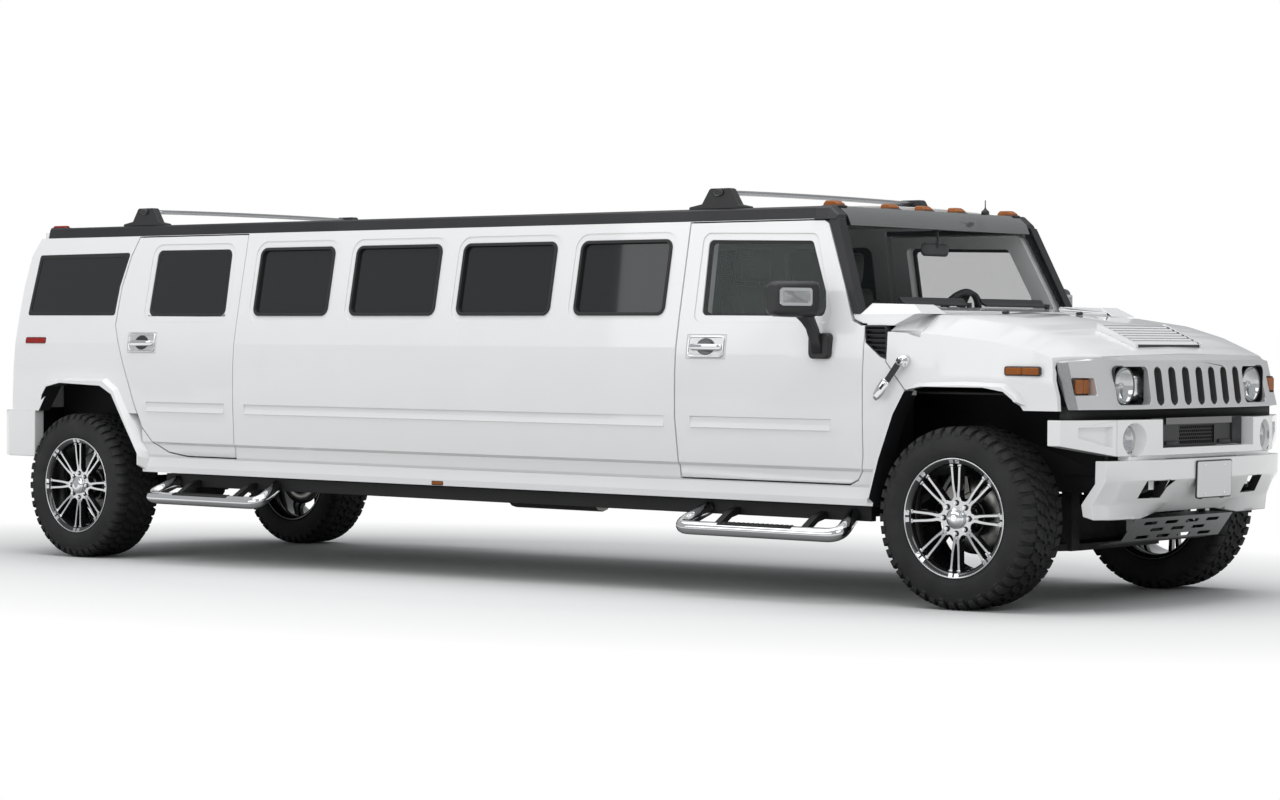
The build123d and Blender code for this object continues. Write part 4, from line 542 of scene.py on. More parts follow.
for axle, x, hub in AXLES:
    for side, out in (("right", -1), ("left", 1)):
        # The frame of a wheel's middle, whose y points outboard.
        place = shift(x, out * HALF_TRACK, hub) @ spin(0 if out > 0 else pi, "Z")
        wheel = f"wheel_{axle}_{side}"
        carrier = f"knuckle_steered_{side}" if axle == "front" else "car"
        tyre(f"{axle}_tyre_{side}_tread", wheel, f"{axle}_tyre_{side}", place)
        rim(f"{axle}_wheel_{side}", wheel, f"{axle}_rim_{side}", place)
        brake(f"{axle}_brake_{side}", wheel, carrier, place, -out * 0.62)


# ------------------------------------------------------------------ front lamps
REFLECTOR = [(0, 0.607), (0.025, 0.608), (0.055, 0.618), (0.076, 0.636), (0.085, 0.65), (0.088, 0.65),
             (0.088, 0.647), (0.078, 0.633), (0.056, 0.614), (0, 0.603)]
BEZEL = [(0.085, 0.65), (0.086, 0.656), (0.0905, 0.656), (0.0915, 0.648), (0.09, 0.61), (0.087, 0.61)]
LENS = [(0, 0.672), (0.03, 0.6712), (0.06, 0.668), (0.078, 0.662), (0.0855, 0.655), (0.0855, 0.6535),
        (0.077, 0.66), (0.059, 0.666), (0, 0.67)]
BULB = [(0, 0.648), (0.01, 0.6475), (0.016, 0.642), (0.017, 0.634), (0.01, 0.63), (0.008, 0.608),
        (0, 0.608)]


def headlamp(side, at):
    """Round lamp in a square black pocket, with a bright wall on its inner side."""
    shape = Shape(BLACK_TRIM, CHROME, CLEAR, MACHINED, at=at @ shift(FX, 0.562, 1.086))
    shape.ring(rounded(0.262, 0.187, 0.034), rounded(0.25, 0.175, 0.028), 0.604, 0.662, AXES["x"])
    shape.prism(rounded(0.262, 0.187, 0.034), 0.598, 0.606)
    wall = [(-0.1225, 0.075, 0.668), (-0.12, 0.074, 0.64), (-0.1, 0.07, 0.612), (-0.08, 0.066, 0.607)]
    shape.skin([[(x - back, y, way * z) for y, z, x in wall] for back, way in
                ((0, -1), (0, -0.4), (0, 0.4), (0, 1), (0.003, 1), (0.003, 0.4), (0.003, -0.4), (0.003, -1))],
               3, closed=False, wrap=True)
    shape.at = shape.at @ shift(0, 0.026, 0)
    shape.turned(REFLECTOR, mat=1)
    shape.turned(BEZEL)
    shape.turned(LENS, mat=2)
    shape.turned(BULB, 24, 1)
    for y in (-0.03, 0, 0.03):
        shape.block((0.619, y, -0.04), (0.02, 0.002, 0.05), 0, 1)
    shape.done(f"headlamp_{side}", "car", "lamp_chrome", ("front_lamps",))


def fog_lamp(side, at):
    """Round lamp whose lens has upright ribs."""
    shape = Shape(CHROME, CLEAR, PAINT, at=at @ shift(FX, 0.608, 0.837))
    shape.turned([(0, 0.654), (0.03, 0.656), (0.048, 0.666), (0.056, 0.678), (0.06, 0.679), (0.062, 0.678),
                  (0.0655, 0.67), (0.0655, 0.65), (0, 0.65)], 44)
    shape.turned([(0, 0.686), (0.03, 0.6848), (0.05, 0.681), (0.057, 0.6775), (0.057, 0.676), (0.049, 0.679),
                  (0.029, 0.683), (0, 0.6842)], 44, 1)
    shape.turned([(0, 0.674), (0.009, 0.673), (0.013, 0.668), (0.013, 0.656), (0, 0.656)], 20)
    for k in range(9):
        y = -0.044 + 0.011 * k
        shape.block((0.6765, y, 0), (0.002, 0.0012, 2 * sqrt(max(0, 0.05 ** 2 - y * y))), 0, 1)
    shape.done(f"fog_lamp_{side}", "car", "lamp_chrome")


def turn_lamp(side, at):
    """Amber lens of two cells, set in a dark gap."""
    shape = Shape(AMBER, BLACK_TRIM, at=at @ shift(FX, 0.858, 1.083))
    shape.prism(rounded(0.12, 0.076, 0.01), 0.56, 0.58, mat=1)
    for y, width in ((-0.0285, 0.05), (0.0265, 0.056)):
        shape.skin([[(x, y + a, b) for a, b in rounded(width - c, 0.066 - c, 0.006)]
                    for x, c in ((0.578, 0), (0.598, 0), (0.6025, 0.004))])
    shape.ring(rounded(0.1225, 0.0785, 0.01), rounded(0.115, 0.071, 0.008), 0.574, 0.592, AXES["x"], 1)
    shape.done(f"turn_lamp_{side}", "car", "lens_amber", ("amber_lamps",))


def fender_lamp(side, at):
    """Amber side lamp on the hood's fender, with a rim."""
    shape = Shape(AMBER, BLACK_TRIM, at=at @ shift(FX + 0.364, 0, 1.153))
    shape.ring(rounded(0.196, 0.044, 0.012), rounded(0.186, 0.034, 0.009), 0.99, 1.0035, AXES["y"], 1)
    for x in (-0.047, 0.047):
        shape.skin([[(x + a, y, b) for a, b in rounded(0.088 - c, 0.033 - c, 0.006)]
                    for y, c in ((0.988, 0), (1.0045, 0), (1.008, 0.005))])
    shape.block((0, 0.997, 0), (0.006, 0.014, 0.03), 0.001)
    shape.done(f"fender_lamp_{side}", "hood_body", "lens_amber", ("hood_lamps",))


for side, at in SIDES.items():
    for make in (headlamp, fog_lamp, turn_lamp, fender_lamp):
        make(side, at)


# ------------------------------------------------------ the nose and its bumper
def oblong(left, right, low, high):
    return [(left, low), (right, low), (right, high), (left, high)]


def grille_slots():
    """Dark liners behind the grille's slots, each with a paler inner wall and a bright round foot."""
    shape = Shape(BLACK_TRIM, SILVER, CHROME, at=shift(FX, 0, 0))
    outline = [(a, b + (0.0605 if cos(tau * j / 24) > 0 else -0.0605))
               for j, (a, b) in enumerate(circle(0.03, 24))]
    for k in range(-3, 4):
        y = 0.12 * k
        shape.ring([(a * 1.03, b * 1.01) for a, b in outline], [(a * 0.955, b * 0.985) for a, b in outline],
                   0.612, 0.662, lambda a, b, d: (d, y + a, 1.084 + b), smooth=True)
        shape.facets([[(x, y + 0.0285, z), (x + 0.001, y + 0.0265, z)] for x, z in
                      ((0.664, 1.15), (0.616, 1.15), (0.616, 1.03), (0.664, 1.03))], 1, closed=False,
                     wrap=True)
        shape.skin([[(x, y + 0.027 * cos(pi * j / 8), 1.0245 - 0.0265 * sin(pi * j / 8) + lift)
                     for j in range(9)]
                    for x, lift in ((0.664, 0), (0.64, 0.006), (0.64, 0.003), (0.664, -0.003))],
                   2, closed=False, wrap=True)
    shape.prism(oblong(-0.415, 0.415, 0.985, 1.184), 0.6, 0.6095)
    shape.done("grille_liners", "car", "mesh_black")


def intake():
    """Black centre panel of the bumper, with a recess full of honeycomb and a blank band above it."""
    at = shift(FX, 0, 0)
    shape = Shape(BLACK_TRIM, BLACK_GLOSS, at=at)
    panel, back, front, top = oblong(-0.4175, 0.4175, 0.7985, 0.9335), 0.6765, 0.71, 0.9335
    shape.prism(panel, back, back + 0.004)
    shape.ring(panel, oblong(-0.17, 0.156, 0.808, 0.896), back + 0.003, front - 0.01, AXES["x"])
    shape.prism(oblong(-0.305, 0.305, 0.903, top), front - 0.011, front, mat=1)
    for way in (-1, 1):
        shape.block((front - 0.006, way * 0.245, 0.815), (0.012, 0.11, 0.018), 0.003)
        shape.block((front - 0.007, way * 0.36, 0.865), (0.01, 0.09, 0.11), 0.004)
    shape.done("intake_panel", "car", "mesh_black", ("front_meshes",))
    comb = Shape(BLACK_TRIM, at=at)
    pitch = 0.0196
    for row in range(5):
        for column in range(17 - row % 2):
            y, z = -0.164 + pitch * (column + 0.5 * (row % 2)), 0.8175 + pitch * 0.866 * row
            outer, inner = ([(y + a, z + b) for a, b in circle(r, 6)] for r in (0.0113, 0.0088))
            comb.ring(outer, inner, back + 0.006, front - 0.016, AXES["x"])
    comb.done("intake_honeycomb", "car", "mesh_black")


def number_plate():
    """Blank plate on a black frame with four bolts."""
    shape = Shape(PLATE, BLACK_TRIM, CHROME, at=shift(FX + 0.7865, 0.004, 0.642) @ spin(radians(1.5)))
    shape.prism(rounded(0.326, 0.18, 0.012), -0.002, 0.004, mat=1)
    shape.prism(rounded(0.314, 0.168, 0.01), 0.0038, 0.0065)
    for y in (-0.09, 0.09):
        for z in (-0.066, 0.066):
            shape.prism([(y + a, z + b) for a, b in circle(0.0048, 12)], 0.006, 0.009, mat=2)
    for y in (0.1, -0.1):
        shape.block((-0.012, y, -0.02), (0.018, 0.02, 0.15), 0.002, 1)
    shape.done("number_plate", "car", "aluminium_plate", bevel=0.0006)


def nose_underside():
    """Black crossbars behind the bumper's gaps, and black liners with hooks behind the tow openings; the
    liners stand in part for the shade inside the openings.
    """
    shape = Shape(FRAME_BLACK, at=shift(FX, 0, 0))
    shape.block((0.545, 0, 0.955), (0.05, 1.86, 0.074), 0.004)
    shape.block((0.6, 0, 0.752), (0.02, 1.3, 0.06), 0.004)
    for way in (-1, 1):
        shape.block((0.59, way * 0.455, 0.6), (0.012, 0.23, 0.14), 0.004)
        shape.block((0.625, way * 0.35, 0.6), (0.08, 0.01, 0.13), 0.003)
        shape.block((0.615, way * 0.562, 0.6), (0.06, 0.01, 0.13), 0.003)
        shape.tube([(x, way * y, z) for x, y, z in
                    ((0.6, 0.495, 0.585), (0.655, 0.495, 0.585), (0.69, 0.49, 0.592), (0.7, 0.465, 0.602),
                     (0.69, 0.44, 0.612), (0.655, 0.435, 0.615), (0.6, 0.435, 0.615))], 0.01)
    shape.done("nose_crossbars", "car", "frame_black")


def bumper_cuts(side, at):
    """A painted pocket in the bumper's end, and the seam beside the fog lamp."""
    # The end face runs from y 0.717, x 0.701 to y 1.000, x 0.570 in plan.
    plan = lambda y: FX + 0.701 - (y - 0.717) * 0.131 / 0.283
    outline = [(0.742, 0.806), (0.742, 0.896), (0.905, 0.892), (0.905, 0.85)]
    pocket = Shape(at=at)
    pocket.facets([[(plan(y) - 0.036 + 0.05 * (y - 0.742), y, z) for y, z in outline],
                   [(plan(y) + 0.06, 0.8 + (y - 0.8) * 1.1, 0.86 + (z - 0.86) * 1.14) for y, z in outline]])
    carve("front_bumper", "car", pocket, f"pocket_cut_{side}")
    seam = Shape(at=at)
    seam.block((FX + 0.705, 0.7185, 0.88), (0.05, 0.003, 0.26))
    carve("front_bumper", "car", seam, f"seam_cut_{side}")


grille_slots()
intake()
number_plate()
nose_underside()
for side, at in SIDES.items():
    bumper_cuts(side, at)


# ------------------------------------------------------------------ car's sides
SKIN = [(0.498, 0.985), (0.53, 0.985), (0.585, 0.965), (0.6, 0.97), (0.66, 0.975), (0.675, 0.987),
        (0.9, 0.998), (1.12, 1), (1.25, 0.992), (1.41, 0.965), (1.885, 0.875)]
PANES = {     # corners (x, z) of each window's opening, and their radius
    "front_door": ([(FX - 1.588, 1.793), (FX - 0.927, 1.779), (FX - 0.811, 1.526), (FX - 0.8, 1.45),
                    (FX - 0.809, 1.404), (FX - 1.577, 1.409)], 0.026),
    "rear_door": ([(RX + 0.587, 1.8), (RX + 1.239, 1.798), (RX + 1.252, 1.407), (RX + 0.578, 1.408)], 0.04),
    "quarter": ([(RX - 0.486, 1.783), (RX + 0.35, 1.788), (RX + 0.298, 1.59), (RX + 0.286, 1.415),
                 (RX - 0.523, 1.416)], 0.02),
}
HANDLES = {"front_door": FX - 1.52, "rear_door": RX + 0.564}
HANDLE_HEIGHT = 1.256
STEPS = (RX + 0.725, RX + 1.684), (FX - 1.624, FX - 0.606)      # rear and front end of each
STEP_OUT, STEP_HEIGHT = 1.092, 0.356


def skin_at(z):
    """Half width of the side wall at a height."""
    for (z0, y0), (z1, y1) in zip(SKIN, SKIN[1:]):
        if z <= z1:
            return y0 + (y1 - y0) * (z - z0) / (z1 - z0)
    return SKIN[-1][1]


def window_frame(name, body, at, points, radius, width=0.02, depth=0.018):
    """Black rubber frame that lines a window's opening."""
    shape = Shape(RUBBER, at=at)
    outer = corners(points, radius)
    shape.ring(outer, shrunk(outer, width), -0.012, 0.006, lambda a, b, d: (a, skin_at(b) - depth + d, b))
    shape.done(name, body, "rubber_black", bevel=0.002)


def door_handle(name, body, at, x):
    """Bright bezel round a dished plate, with a level grip across its bowl."""
    shape = Shape(CHROME, SILVER, BLACK_GLOSS, at=at)
    place = lambda a, b, d: (x + a, skin_at(HANDLE_HEIGHT + b) + d, HANDLE_HEIGHT + b)
    outer, middle, inner = (rounded(0.234 - c, 0.11 - c, r, 6) for c, r in
                            ((0, 0.022), (0.01, 0.02), (0.022, 0.016)))
    shape.skin([[place(a, b, d) for a, b in line] for line, d in
                ((outer, 0), (outer, 0.005), (middle, 0.01), (inner, 0.006), (inner, 0))], wrap=True)
    shape.facets([[place(a, b, d) for a, b in inner] for d in (-0.001, 0.0035)], 1)
    shape.skin([[place(a * s, b * s, d) for a, b in oval(0.058, 0.042, 32)] for s, d in
                ((1, 0.003), (1, 0.005), (0.93, 0.0052), (0.8, 0.0044), (0.5, 0.004))], 2)
    y = skin_at(HANDLE_HEIGHT)
    shape.skin([[(x + a, y + proud - thick / 2 + b, 1.253 + c) for b, c in oval(thick * 0.5, half, 16)]
                for a, half, proud, thick in
                ((-0.104, 0.011, 0.008, 0.006), (-0.092, 0.015, 0.018, 0.01), (-0.06, 0.016, 0.027, 0.011),
                 (0, 0.0165, 0.031, 0.011), (0.06, 0.016, 0.029, 0.011), (0.09, 0.015, 0.021, 0.01),
                 (0.104, 0.012, 0.009, 0.006))])
    for a in (-0.098, 0.098):
        shape.block((x + a, y + 0.006, 1.253), (0.014, 0.014, 0.02), 0.002)
    shape.done(name, body, "silver_satin")


def cut_handle(node, body, at, x, name):
    """Takes the plain handle block off the door, down to its skin."""
    tool = Shape(at=at)
    heights = (1.196, 1.25, 1.316)
    tool.facets([[(x + a, skin_at(z) - 0.0002, z) for z in heights]
                 + [(x + a, 1.06, z) for z in reversed(heights)] for a in (-0.125, 0.125)])
    carve(node, body, tool, name)


def side_mirror(side, body, at):
    """Mirror head, turned a little, with a bright-framed lamp, on an arm that drops to a rounded foot."""
    base = at @ shift(FX - 0.853, 0, 1.488)
    shape = Shape(BLACK_TRIM, CHROME, CLEAR, MACHINED,
                  at=base @ shift(0, 1.16, 0) @ spin(radians(20), "Z") @ shift(0, -1.178, 0))
    shape.skin([[(a + lean, y, b) for a, b in rounded(depth, height, 0.034, 5)] for y, depth, height, lean in
                ((1.046, 0.096, 0.13, 0), (1.052, 0.118, 0.16, 0), (1.072, 0.128, 0.173, 0),
                 (1.17, 0.13, 0.175, 0), (1.262, 0.126, 0.17, 0), (1.286, 0.112, 0.152, -0.002),
                 (1.296, 0.086, 0.124, -0.004))])
    lamp = 1.193
    shape.ring(rounded(0.18, 0.086, 0.014), rounded(0.154, 0.06, 0.009), 0.06, 0.069,
               lambda a, b, d: (d, lamp + a, 0.01 + b), 1)
    for wide, tall, low, high, mat in ((0.156, 0.062, 0.06, 0.0655, 3), (0.152, 0.058, 0.0655, 0.0675, 2)):
        shape.prism([(lamp + a, 0.01 + b) for a, b in rounded(wide, tall, 0.009)], low, high, mat=mat)
    for k in range(9):
        shape.block((0.0662, lamp - 0.068 + 0.017 * k, 0.01), (0.0015, 0.0012, 0.056), 0, 1)
    shape.prism([(1.17 + a, b) for a, b in rounded(0.216, 0.142, 0.026)], -0.0668, -0.064, mat=3)
    shape.at = base
    shape.skin([[(x + a, y + b, z) for a, b in rounded(depth, wide, 0.016, 3)] for y, x, z, depth, wide in
                ((1.088, 0.012, -0.04, 0.096, 0.06), (1.076, 0.016, -0.084, 0.09, 0.056),
                 (1.062, 0.03, -0.112, 0.072, 0.05), (1.048, 0.042, -0.145, 0.062, 0.046),
                 (1.03, 0.048, -0.205, 0.06, 0.042), (1.018, 0.05, -0.262, 0.066, 0.036))])
    shape.skin([[(0.056 + a, y, -0.225 + b) for a, b in rounded(0.124 - cut, 0.126 - cut, 0.024, 5)]
                for y, cut in ((0.984, 0), (1.016, 0), (1.026, 0.012))])
    shape.done(f"side_mirror_{side}", body, "trim_black", (f"mirror_{side}",))


def hood_latch(side, at):
    """Hold-down: a bright boss on the hood, a black strap, and a bright clip on the fender."""
    top, low, out = Vector((FX - 0.303, 0, 1.193)), Vector((FX - 0.436, 0, 1.027)), 1.034
    shape = Shape(BLACK_TRIM, CHROME, BLACK_GLOSS, at=at @ Matrix.Translation(top))
    shape.turned([(0, 0.988), (0.031, 0.988), (0.032, 1.012), (0.029, 1.02), (0.024, 1.024), (0.022, 1.034),
                  (0.019, 1.04), (0, 1.042)], 32, 1, "y")
    shape.turned([(0, 1.041), (0.01, 1.041), (0.012, 1.044), (0, 1.046)], 20, 2, "y")
    # The rest is drawn in a frame whose x runs down the strap.
    run = low - top
    ahead, across = run.normalized(), Vector((0, 1, 0))
    lean = Matrix((ahead, across, ahead.cross(across))).transposed().to_4x4()
    shape.at = at @ Matrix.Translation(top) @ lean
    shape.facets([[(a, out + b, c * w) for b, c in ((-0.004, -1), (0.004, -1), (0.004, 1), (-0.004, 1))]
                  for a, w in ((0.006, 0.013), (0.03, 0.015), (0.1, 0.014), (0.135, 0.016))])
    shape.skin([[(a, out + 0.003 + b * t, c * w) for b, c in
                 ((-0.008, -1), (0.004, -1), (0.008, -0.5), (0.008, 0.5), (0.004, 1), (-0.008, 1))]
                for a, w, t in ((0.118, 0.016, 0.7), (0.13, 0.025, 1), (0.185, 0.026, 1), (0.214, 0.021, 0.8),
                                (run.length + 0.02, 0.012, 0.5))], 1)
    shape.facets([[(a, out + b, c) for b, c in oblong(0.0105, 0.0125, -0.006, 0.006)]
                  for a in (0.14, 0.17)], 2)
    shape.done(f"hood_latch_{side}", "hood_body", "trim_black", ("hood_latches",))


def marker(name, at, x, z, length, height, mat, slot, out=0.0035):
    """A small lamp on the skin with a dark rim."""
    shape = Shape(mat, BLACK_TRIM, at=at)
    place = lambda a, b, d: (x + a, skin_at(z + b) + d, z + b)
    edge = min(length, height) * 0.22
    shape.facets([[place(a, b, d) for a, b in rounded(length, height, edge)] for d in (-0.004, 0.0015)], 1)
    shape.skin([[place(a, b, d) for a, b in rounded(length - c, height - c, edge * 0.7)]
                for c, d in ((0.006, 0), (0.006, out - 0.001), (0.012, out))])
    shape.done(name, "car", slot)


def step_pads(side, at):
    """Black tread pads on the bright step tubes."""
    shape = Shape(RUBBER, FRAME_BLACK, at=at)
    bend = (-0.85, -0.5, 0, 0.5, 0.85)
    for rear, front in STEPS:
        middle = (rear + front) / 2
        shape.skin([[(x, STEP_OUT + r * sin(t), STEP_HEIGHT + r * cos(t)) for r, arc in
                     ((0.0365, bend), (0.0325, bend[::-1])) for t in arc]
                    for x in (middle - 0.23, middle + 0.23)])
        for k in range(15):
            shape.block((middle - 0.21 + 0.03 * k, STEP_OUT, 0.393), (0.008, 0.04, 0.003), 0.001)
    shape.done(f"step_pads_{side}", "car", "step_chrome")


def steps():
    """Bright round step tubes with bent ends, on black brackets."""
    tube, bracket = Shape(CHROME), Shape(FRAME_BLACK)
    for way in (-1, 1):
        for rear, front in STEPS:
            path = []
            for x, lean in ((rear, 1), (front, -1)):
                foot, knee, along = (Vector(p) for p in (
                    (x + lean * 0.06, way * 0.9, 0.448), (x, way * STEP_OUT, STEP_HEIGHT),
                    (x + lean * 0.2, way * STEP_OUT, STEP_HEIGHT)))
                a, b = (knee + (end - knee).normalized() * 0.085 for end in (foot, along))
                bend = [foot] + [a.lerp(knee, k / 8).lerp(knee.lerp(b, k / 8), k / 8) for k in range(9)]
                path += bend if lean > 0 else bend[::-1]
            tube.tube(path, 0.0345, 20)
            for x in (rear + 0.24, front - 0.24):
                bracket.facets([[(x + a, way * y, z + b) for a, b in oblong(-0.02, 0.02, -0.018, 0.018)]
                                for y, z in ((0.902, 0.44), (0.97, 0.425), (1.055, 0.372), (1.08, 0.362))])
    tube.done("step_tubes", "car", "step_chrome", ("side_steps",), weld=False)
    bracket.done("step_brackets", "car", "frame_black", bevel=0.003)


def moulding(name, body, at, rear, front):
    """Wedge in the pressed strip along the lower side: its face leans out towards its foot."""
    shape = Shape(PAINT, at=at)
    shape.facets([[(x + lean * c, skin_at(z) + d, z) for d, z, c in
                   ((-0.007, 0.886, 0), (0.0055, 0.853, 0.006), (-0.004, 0.8505, 0.006), (-0.014, 0.882, 0))]
                  for x, lean in ((rear, -1), (front, 1))])
    shape.done(name, body, "paint_white")


def cowl_louvre(side, at):
    """Six black slats over the fender's vent."""
    shape = Shape(BLACK_TRIM, at=at)
    edge = [(FX - 0.544, 1.36), (FX - 0.424, 1.36), (FX - 0.417, 1.34), (FX - 0.417, 1.206),
            (FX - 0.451, 1.214), (FX - 0.54, 1.281)]
    shape.ring(edge, shrunk(edge, 0.007), 0.968, 0.986, AXES["y"])
    shape.prism(shrunk(edge, 0.002), 0.945, 0.962, "y")
    for k in range(6):
        z = 1.346 - 0.024 * k
        rear = FX - 0.536 + max(0, 1.281 - z) * 1.33
        shape.facets([[(x, y, z + b) for y, b in
                       ((0.984, -0.007), (0.984, -0.003), (0.964, 0.008), (0.96, 0.004))]
                      for x in (rear, FX - 0.424)])
    shape.done(f"fender_louvre_{side}", "car", "trim_black", ("cowl_vents",))


for side, at in SIDES.items():
    for door, x in HANDLES.items():
        body = f"door_{door.split('_')[0]}_{side}"
        cut_handle(f"{door}_{side}", body, at, x, f"handle_cut_{door}_{side}")
        door_handle(f"{door}_handle_{side}", body, at, x)
        window_frame(f"{door}_frame_{side}", body, at, *PANES[door])
    window_frame(f"quarter_frame_{side}", "car", at, *PANES["quarter"], width=0.024, depth=0.004)
    side_mirror(side, f"door_front_{side}", at)
    hood_latch(side, at)
    marker(f"sill_lamp_{side}", at, -0.2035, 0.5115, 0.085, 0.023, AMBER, "lens_amber")
    marker(f"rear_side_lamp_{side}", at, -3.593, 1.265, 0.19, 0.038, RED, "lens_red", 0.006)
    step_pads(side, at)
    cowl_louvre(side, at)
    moulding(f"front_door_moulding_{side}", f"door_front_{side}", at, FX - 1.61, FX - 0.745)
    moulding(f"rear_door_moulding_{side}", f"door_rear_{side}", at, RX + 0.615, RX + 1.275)
    moulding(f"side_moulding_{side}", "car", at, RX + 1.459, FX - 1.794)
steps()


# --------------------------------------------- the roof and small closing pieces
def roof_corner(side, at):
    """Closes the corner where the header meets the roof edge and the windscreen pillar."""
    shape = Shape(BLACK_TRIM, at=at)
    edge = [(0.79, 1.9475), (0.85, 1.9475), (0.863, 1.939), (0.8825, 1.8805), (0.79, 1.8805)]
    low = [(0.79, 1.903), (0.85, 1.903), (0.864, 1.899), (0.8825, 1.8805), (0.79, 1.8805)]
    shape.facets([[(x, y, z) for y, z in outline] for x, outline in
                  ((FX - 0.934, edge), (FX - 0.851, edge), (FX - 0.8, low))])
    shape.done(f"roof_corner_{side}", "car", "trim_black", bevel=0.004)


def fender_fill(side, at):
    """White ledge that closes the slot under the cowl's side, behind the hood's rear corner."""
    shape = Shape(PAINT, at=at)
    shape.prism([(0.95, 1.296), (0.95, 1.3385), (0.905, 1.3625), (0.8, 1.3625), (0.8, 1.296)], 2.764, 2.95)
    shape.done(f"fender_ledge_{side}", "car", "paint_white")


def door_top_seal(side, at):
    """Rubber strip behind the doors' top edges, under the roof edge."""
    shape = Shape(RUBBER, at=at)
    shape.prism(oblong(0.812, 0.842, 1.858, 1.888), RX + 0.05, FX - 0.93)
    shape.done(f"door_top_seal_{side}", "car", "rubber_black", bevel=0.003)


def rear_marker(side, at):
    """Red marker lamp at the rear end of the roof edge, on a black pad."""
    shape = Shape(RED, BLACK_TRIM, at=at @ shift(-3.578, 0.806, 0))
    shape.skin([[(a, b, z) for a, b in rounded(0.15 - c, 0.05 - c, 0.012)]
                for z, c in ((1.944, 0), (1.9505, 0), (1.952, 0.004))], 1)
    shape.facets([[(a, b, z) for a, b in rounded(0.124 - c, 0.038 - c, 0.01)]
                  for z, c in ((1.95, 0), (1.959, 0.002), (1.964, 0.014))])
    shape.done(f"rear_roof_lamp_{side}", "car", "lens_red")


def rear_arch_liner(side, at):
    """Black panel behind the rear wheel, between the arch and the bumper."""
    shape = Shape(FRAME_BLACK, at=at)
    shape.block((-3.765, 0.7, 0.79), (0.05, 0.46, 0.42), 0.006)
    shape.done(f"rear_arch_liner_{side}", "car", "frame_black")


def roof_rack():
    """Black feet with round end caps, and two oval bars across the roof in a silver darkened as painted
    shade.
    """
    feet, bars = Shape(BLACK_TRIM, BLACK_GLOSS), Shape(SHADED_SILVER)
    profile = [(-0.194, 1.9485), (-0.19, 1.96), (-0.108, 1.974), (-0.06, 2.046), (-0.05, 2.0515),
               (0.07, 2.0515), (0.08, 2.046), (0.13, 1.968), (0.19, 1.957), (0.194, 1.9485)]
    for x in (FX - 1.565, RX + 0.414):
        for way in (-1, 1):
            feet.facets([[(x + a * c, way * y, z) for a, z in profile] for y, c in
                         ((0.799, 0.98), (0.803, 1), (0.841, 1), (0.845, 0.98))])
            feet.skin([[(x + a, way * y, 2.03 + b) for a, b in oval(0.036 * r, 0.0205 * r, 32)] for r, y in
                       ((1, 0.838), (1, 0.852), (0.92, 0.8555), (0.8, 0.8555), (0.76, 0.853))], 1)
        bars.skin([[(x + a, y, 2.031 + b + 0.006 * (1 - (y / 0.8) ** 2)) for a, b in oval(0.029, 0.013, 28)]
                   for y in [-0.8 + 0.08 * k for k in range(21)]])
    feet.done("roof_rack_feet", "car", "trim_black", ("roof_rack",), bevel=0.003)
    bars.done("roof_rack_bars", "car", "silver_satin", ("roof_rack",))


def roof_lamps():
    """Five amber marker lamps with ribbed lenses on black pads."""
    pads, lenses = Shape(BLACK_TRIM), Shape(AMBER)
    for y in (-0.762, -0.292, 0, 0.292, 0.762):
        long, wide, x = (0.062, 0.037, FX - 0.9) if abs(y) > 0.5 else (0.046, 0.048, FX - 0.903)
        pads.skin([[(x + a, y + b, z) for a, b in rounded(2 * long - cut, 2 * wide - cut, 0.016)]
                   for z, cut in ((1.944, 0), (1.95, 0), (1.953, 0.008))])
        lenses.facets([[(x + a - c, y + b, z) for a, b in rounded(2 * long * s, 2 * wide * t, 0.011)]
                       for z, s, t, c in ((1.951, 0.8, 0.84, 0), (1.96, 0.78, 0.82, 0),
                                          (1.971, 0.6, 0.74, 0.005), (1.9765, 0.46, 0.64, 0.008))])
        for k in range(5):
            lenses.block((x - 0.006, y + wide * (-0.5 + 0.25 * k), 1.9685), (long * 1.1, 0.003, 0.012), 0.001)
    pads.done("roof_lamp_pads", "car", "trim_black", ("amber_lamps",))
    lenses.done("roof_lamp_lenses", "car", "lens_amber", ("amber_lamps",))


def antenna():
    shape = Shape(BLACK_TRIM, at=shift(2.418, 0.35, 0))
    shape.turned([(0, 1.94), (0.022, 1.94), (0.02, 1.958), (0.01, 1.966), (0.0045, 1.974), (0.003, 1.98),
                  (0.0026, 2.014), (0, 2.016)], 20, axis="z")
    shape.done("antenna", "car", "trim_black")


def washers():
    """Two spray nozzles on the hood's rear edge."""
    shape = Shape(BLACK_TRIM)
    for y in (-0.332, 0.332):
        shape.block((3.004, y, 1.43), (0.034, 0.022, 0.014), 0.004)
        shape.block((3.012, y, 1.4375), (0.012, 0.012, 0.005), 0.002)
    shape.done("washer_nozzles", "hood_body", "trim_black")


def vent_painted_shade():
    """Black strips painted as the shadow along the inner sides of the hood vent's two blades, and grey lines
    painted along its slats as the thin shade between them.
    """
    shape, lines = Shape(BLACK_TRIM), Shape(SHADED_SILVER)
    for way in (-1, 1):
        shape.facets([[(FX + x, way * y, z + d) for y, d in oblong(0.284, 0.291, -0.018, -0.004)]
                      for x, z in ((0.345, 1.371), (0.535, 1.286))])
    shape.done("hood_vent_blade_shadow", "hood_body", "trim_black")
    for row in range(7):
        x, z = 0.345 + 0.027 * row, 1.353 - 0.027 * row * 0.438
        lines.facets([[(FX + x + a, y, z + 0.016 - 0.645 * a + lift) for a, lift in
                       oblong(0.0015, 0.006, -0.001, 0.0006)] for y in (-0.284, 0.284)])
    lines.done("hood_vent_slat_shade", "hood_body", "silver_satin")


# ------------------------------------------------------------------- the cabin
def signed_power(value, power):
    return abs(value) ** power * (1 if value > 0 else -1)


def groove(t, middle, width):
    """1 in the middle of a sewn channel, falling off to 0 beside it."""
    return 2.718 ** (-((t - middle) / width) ** 2)


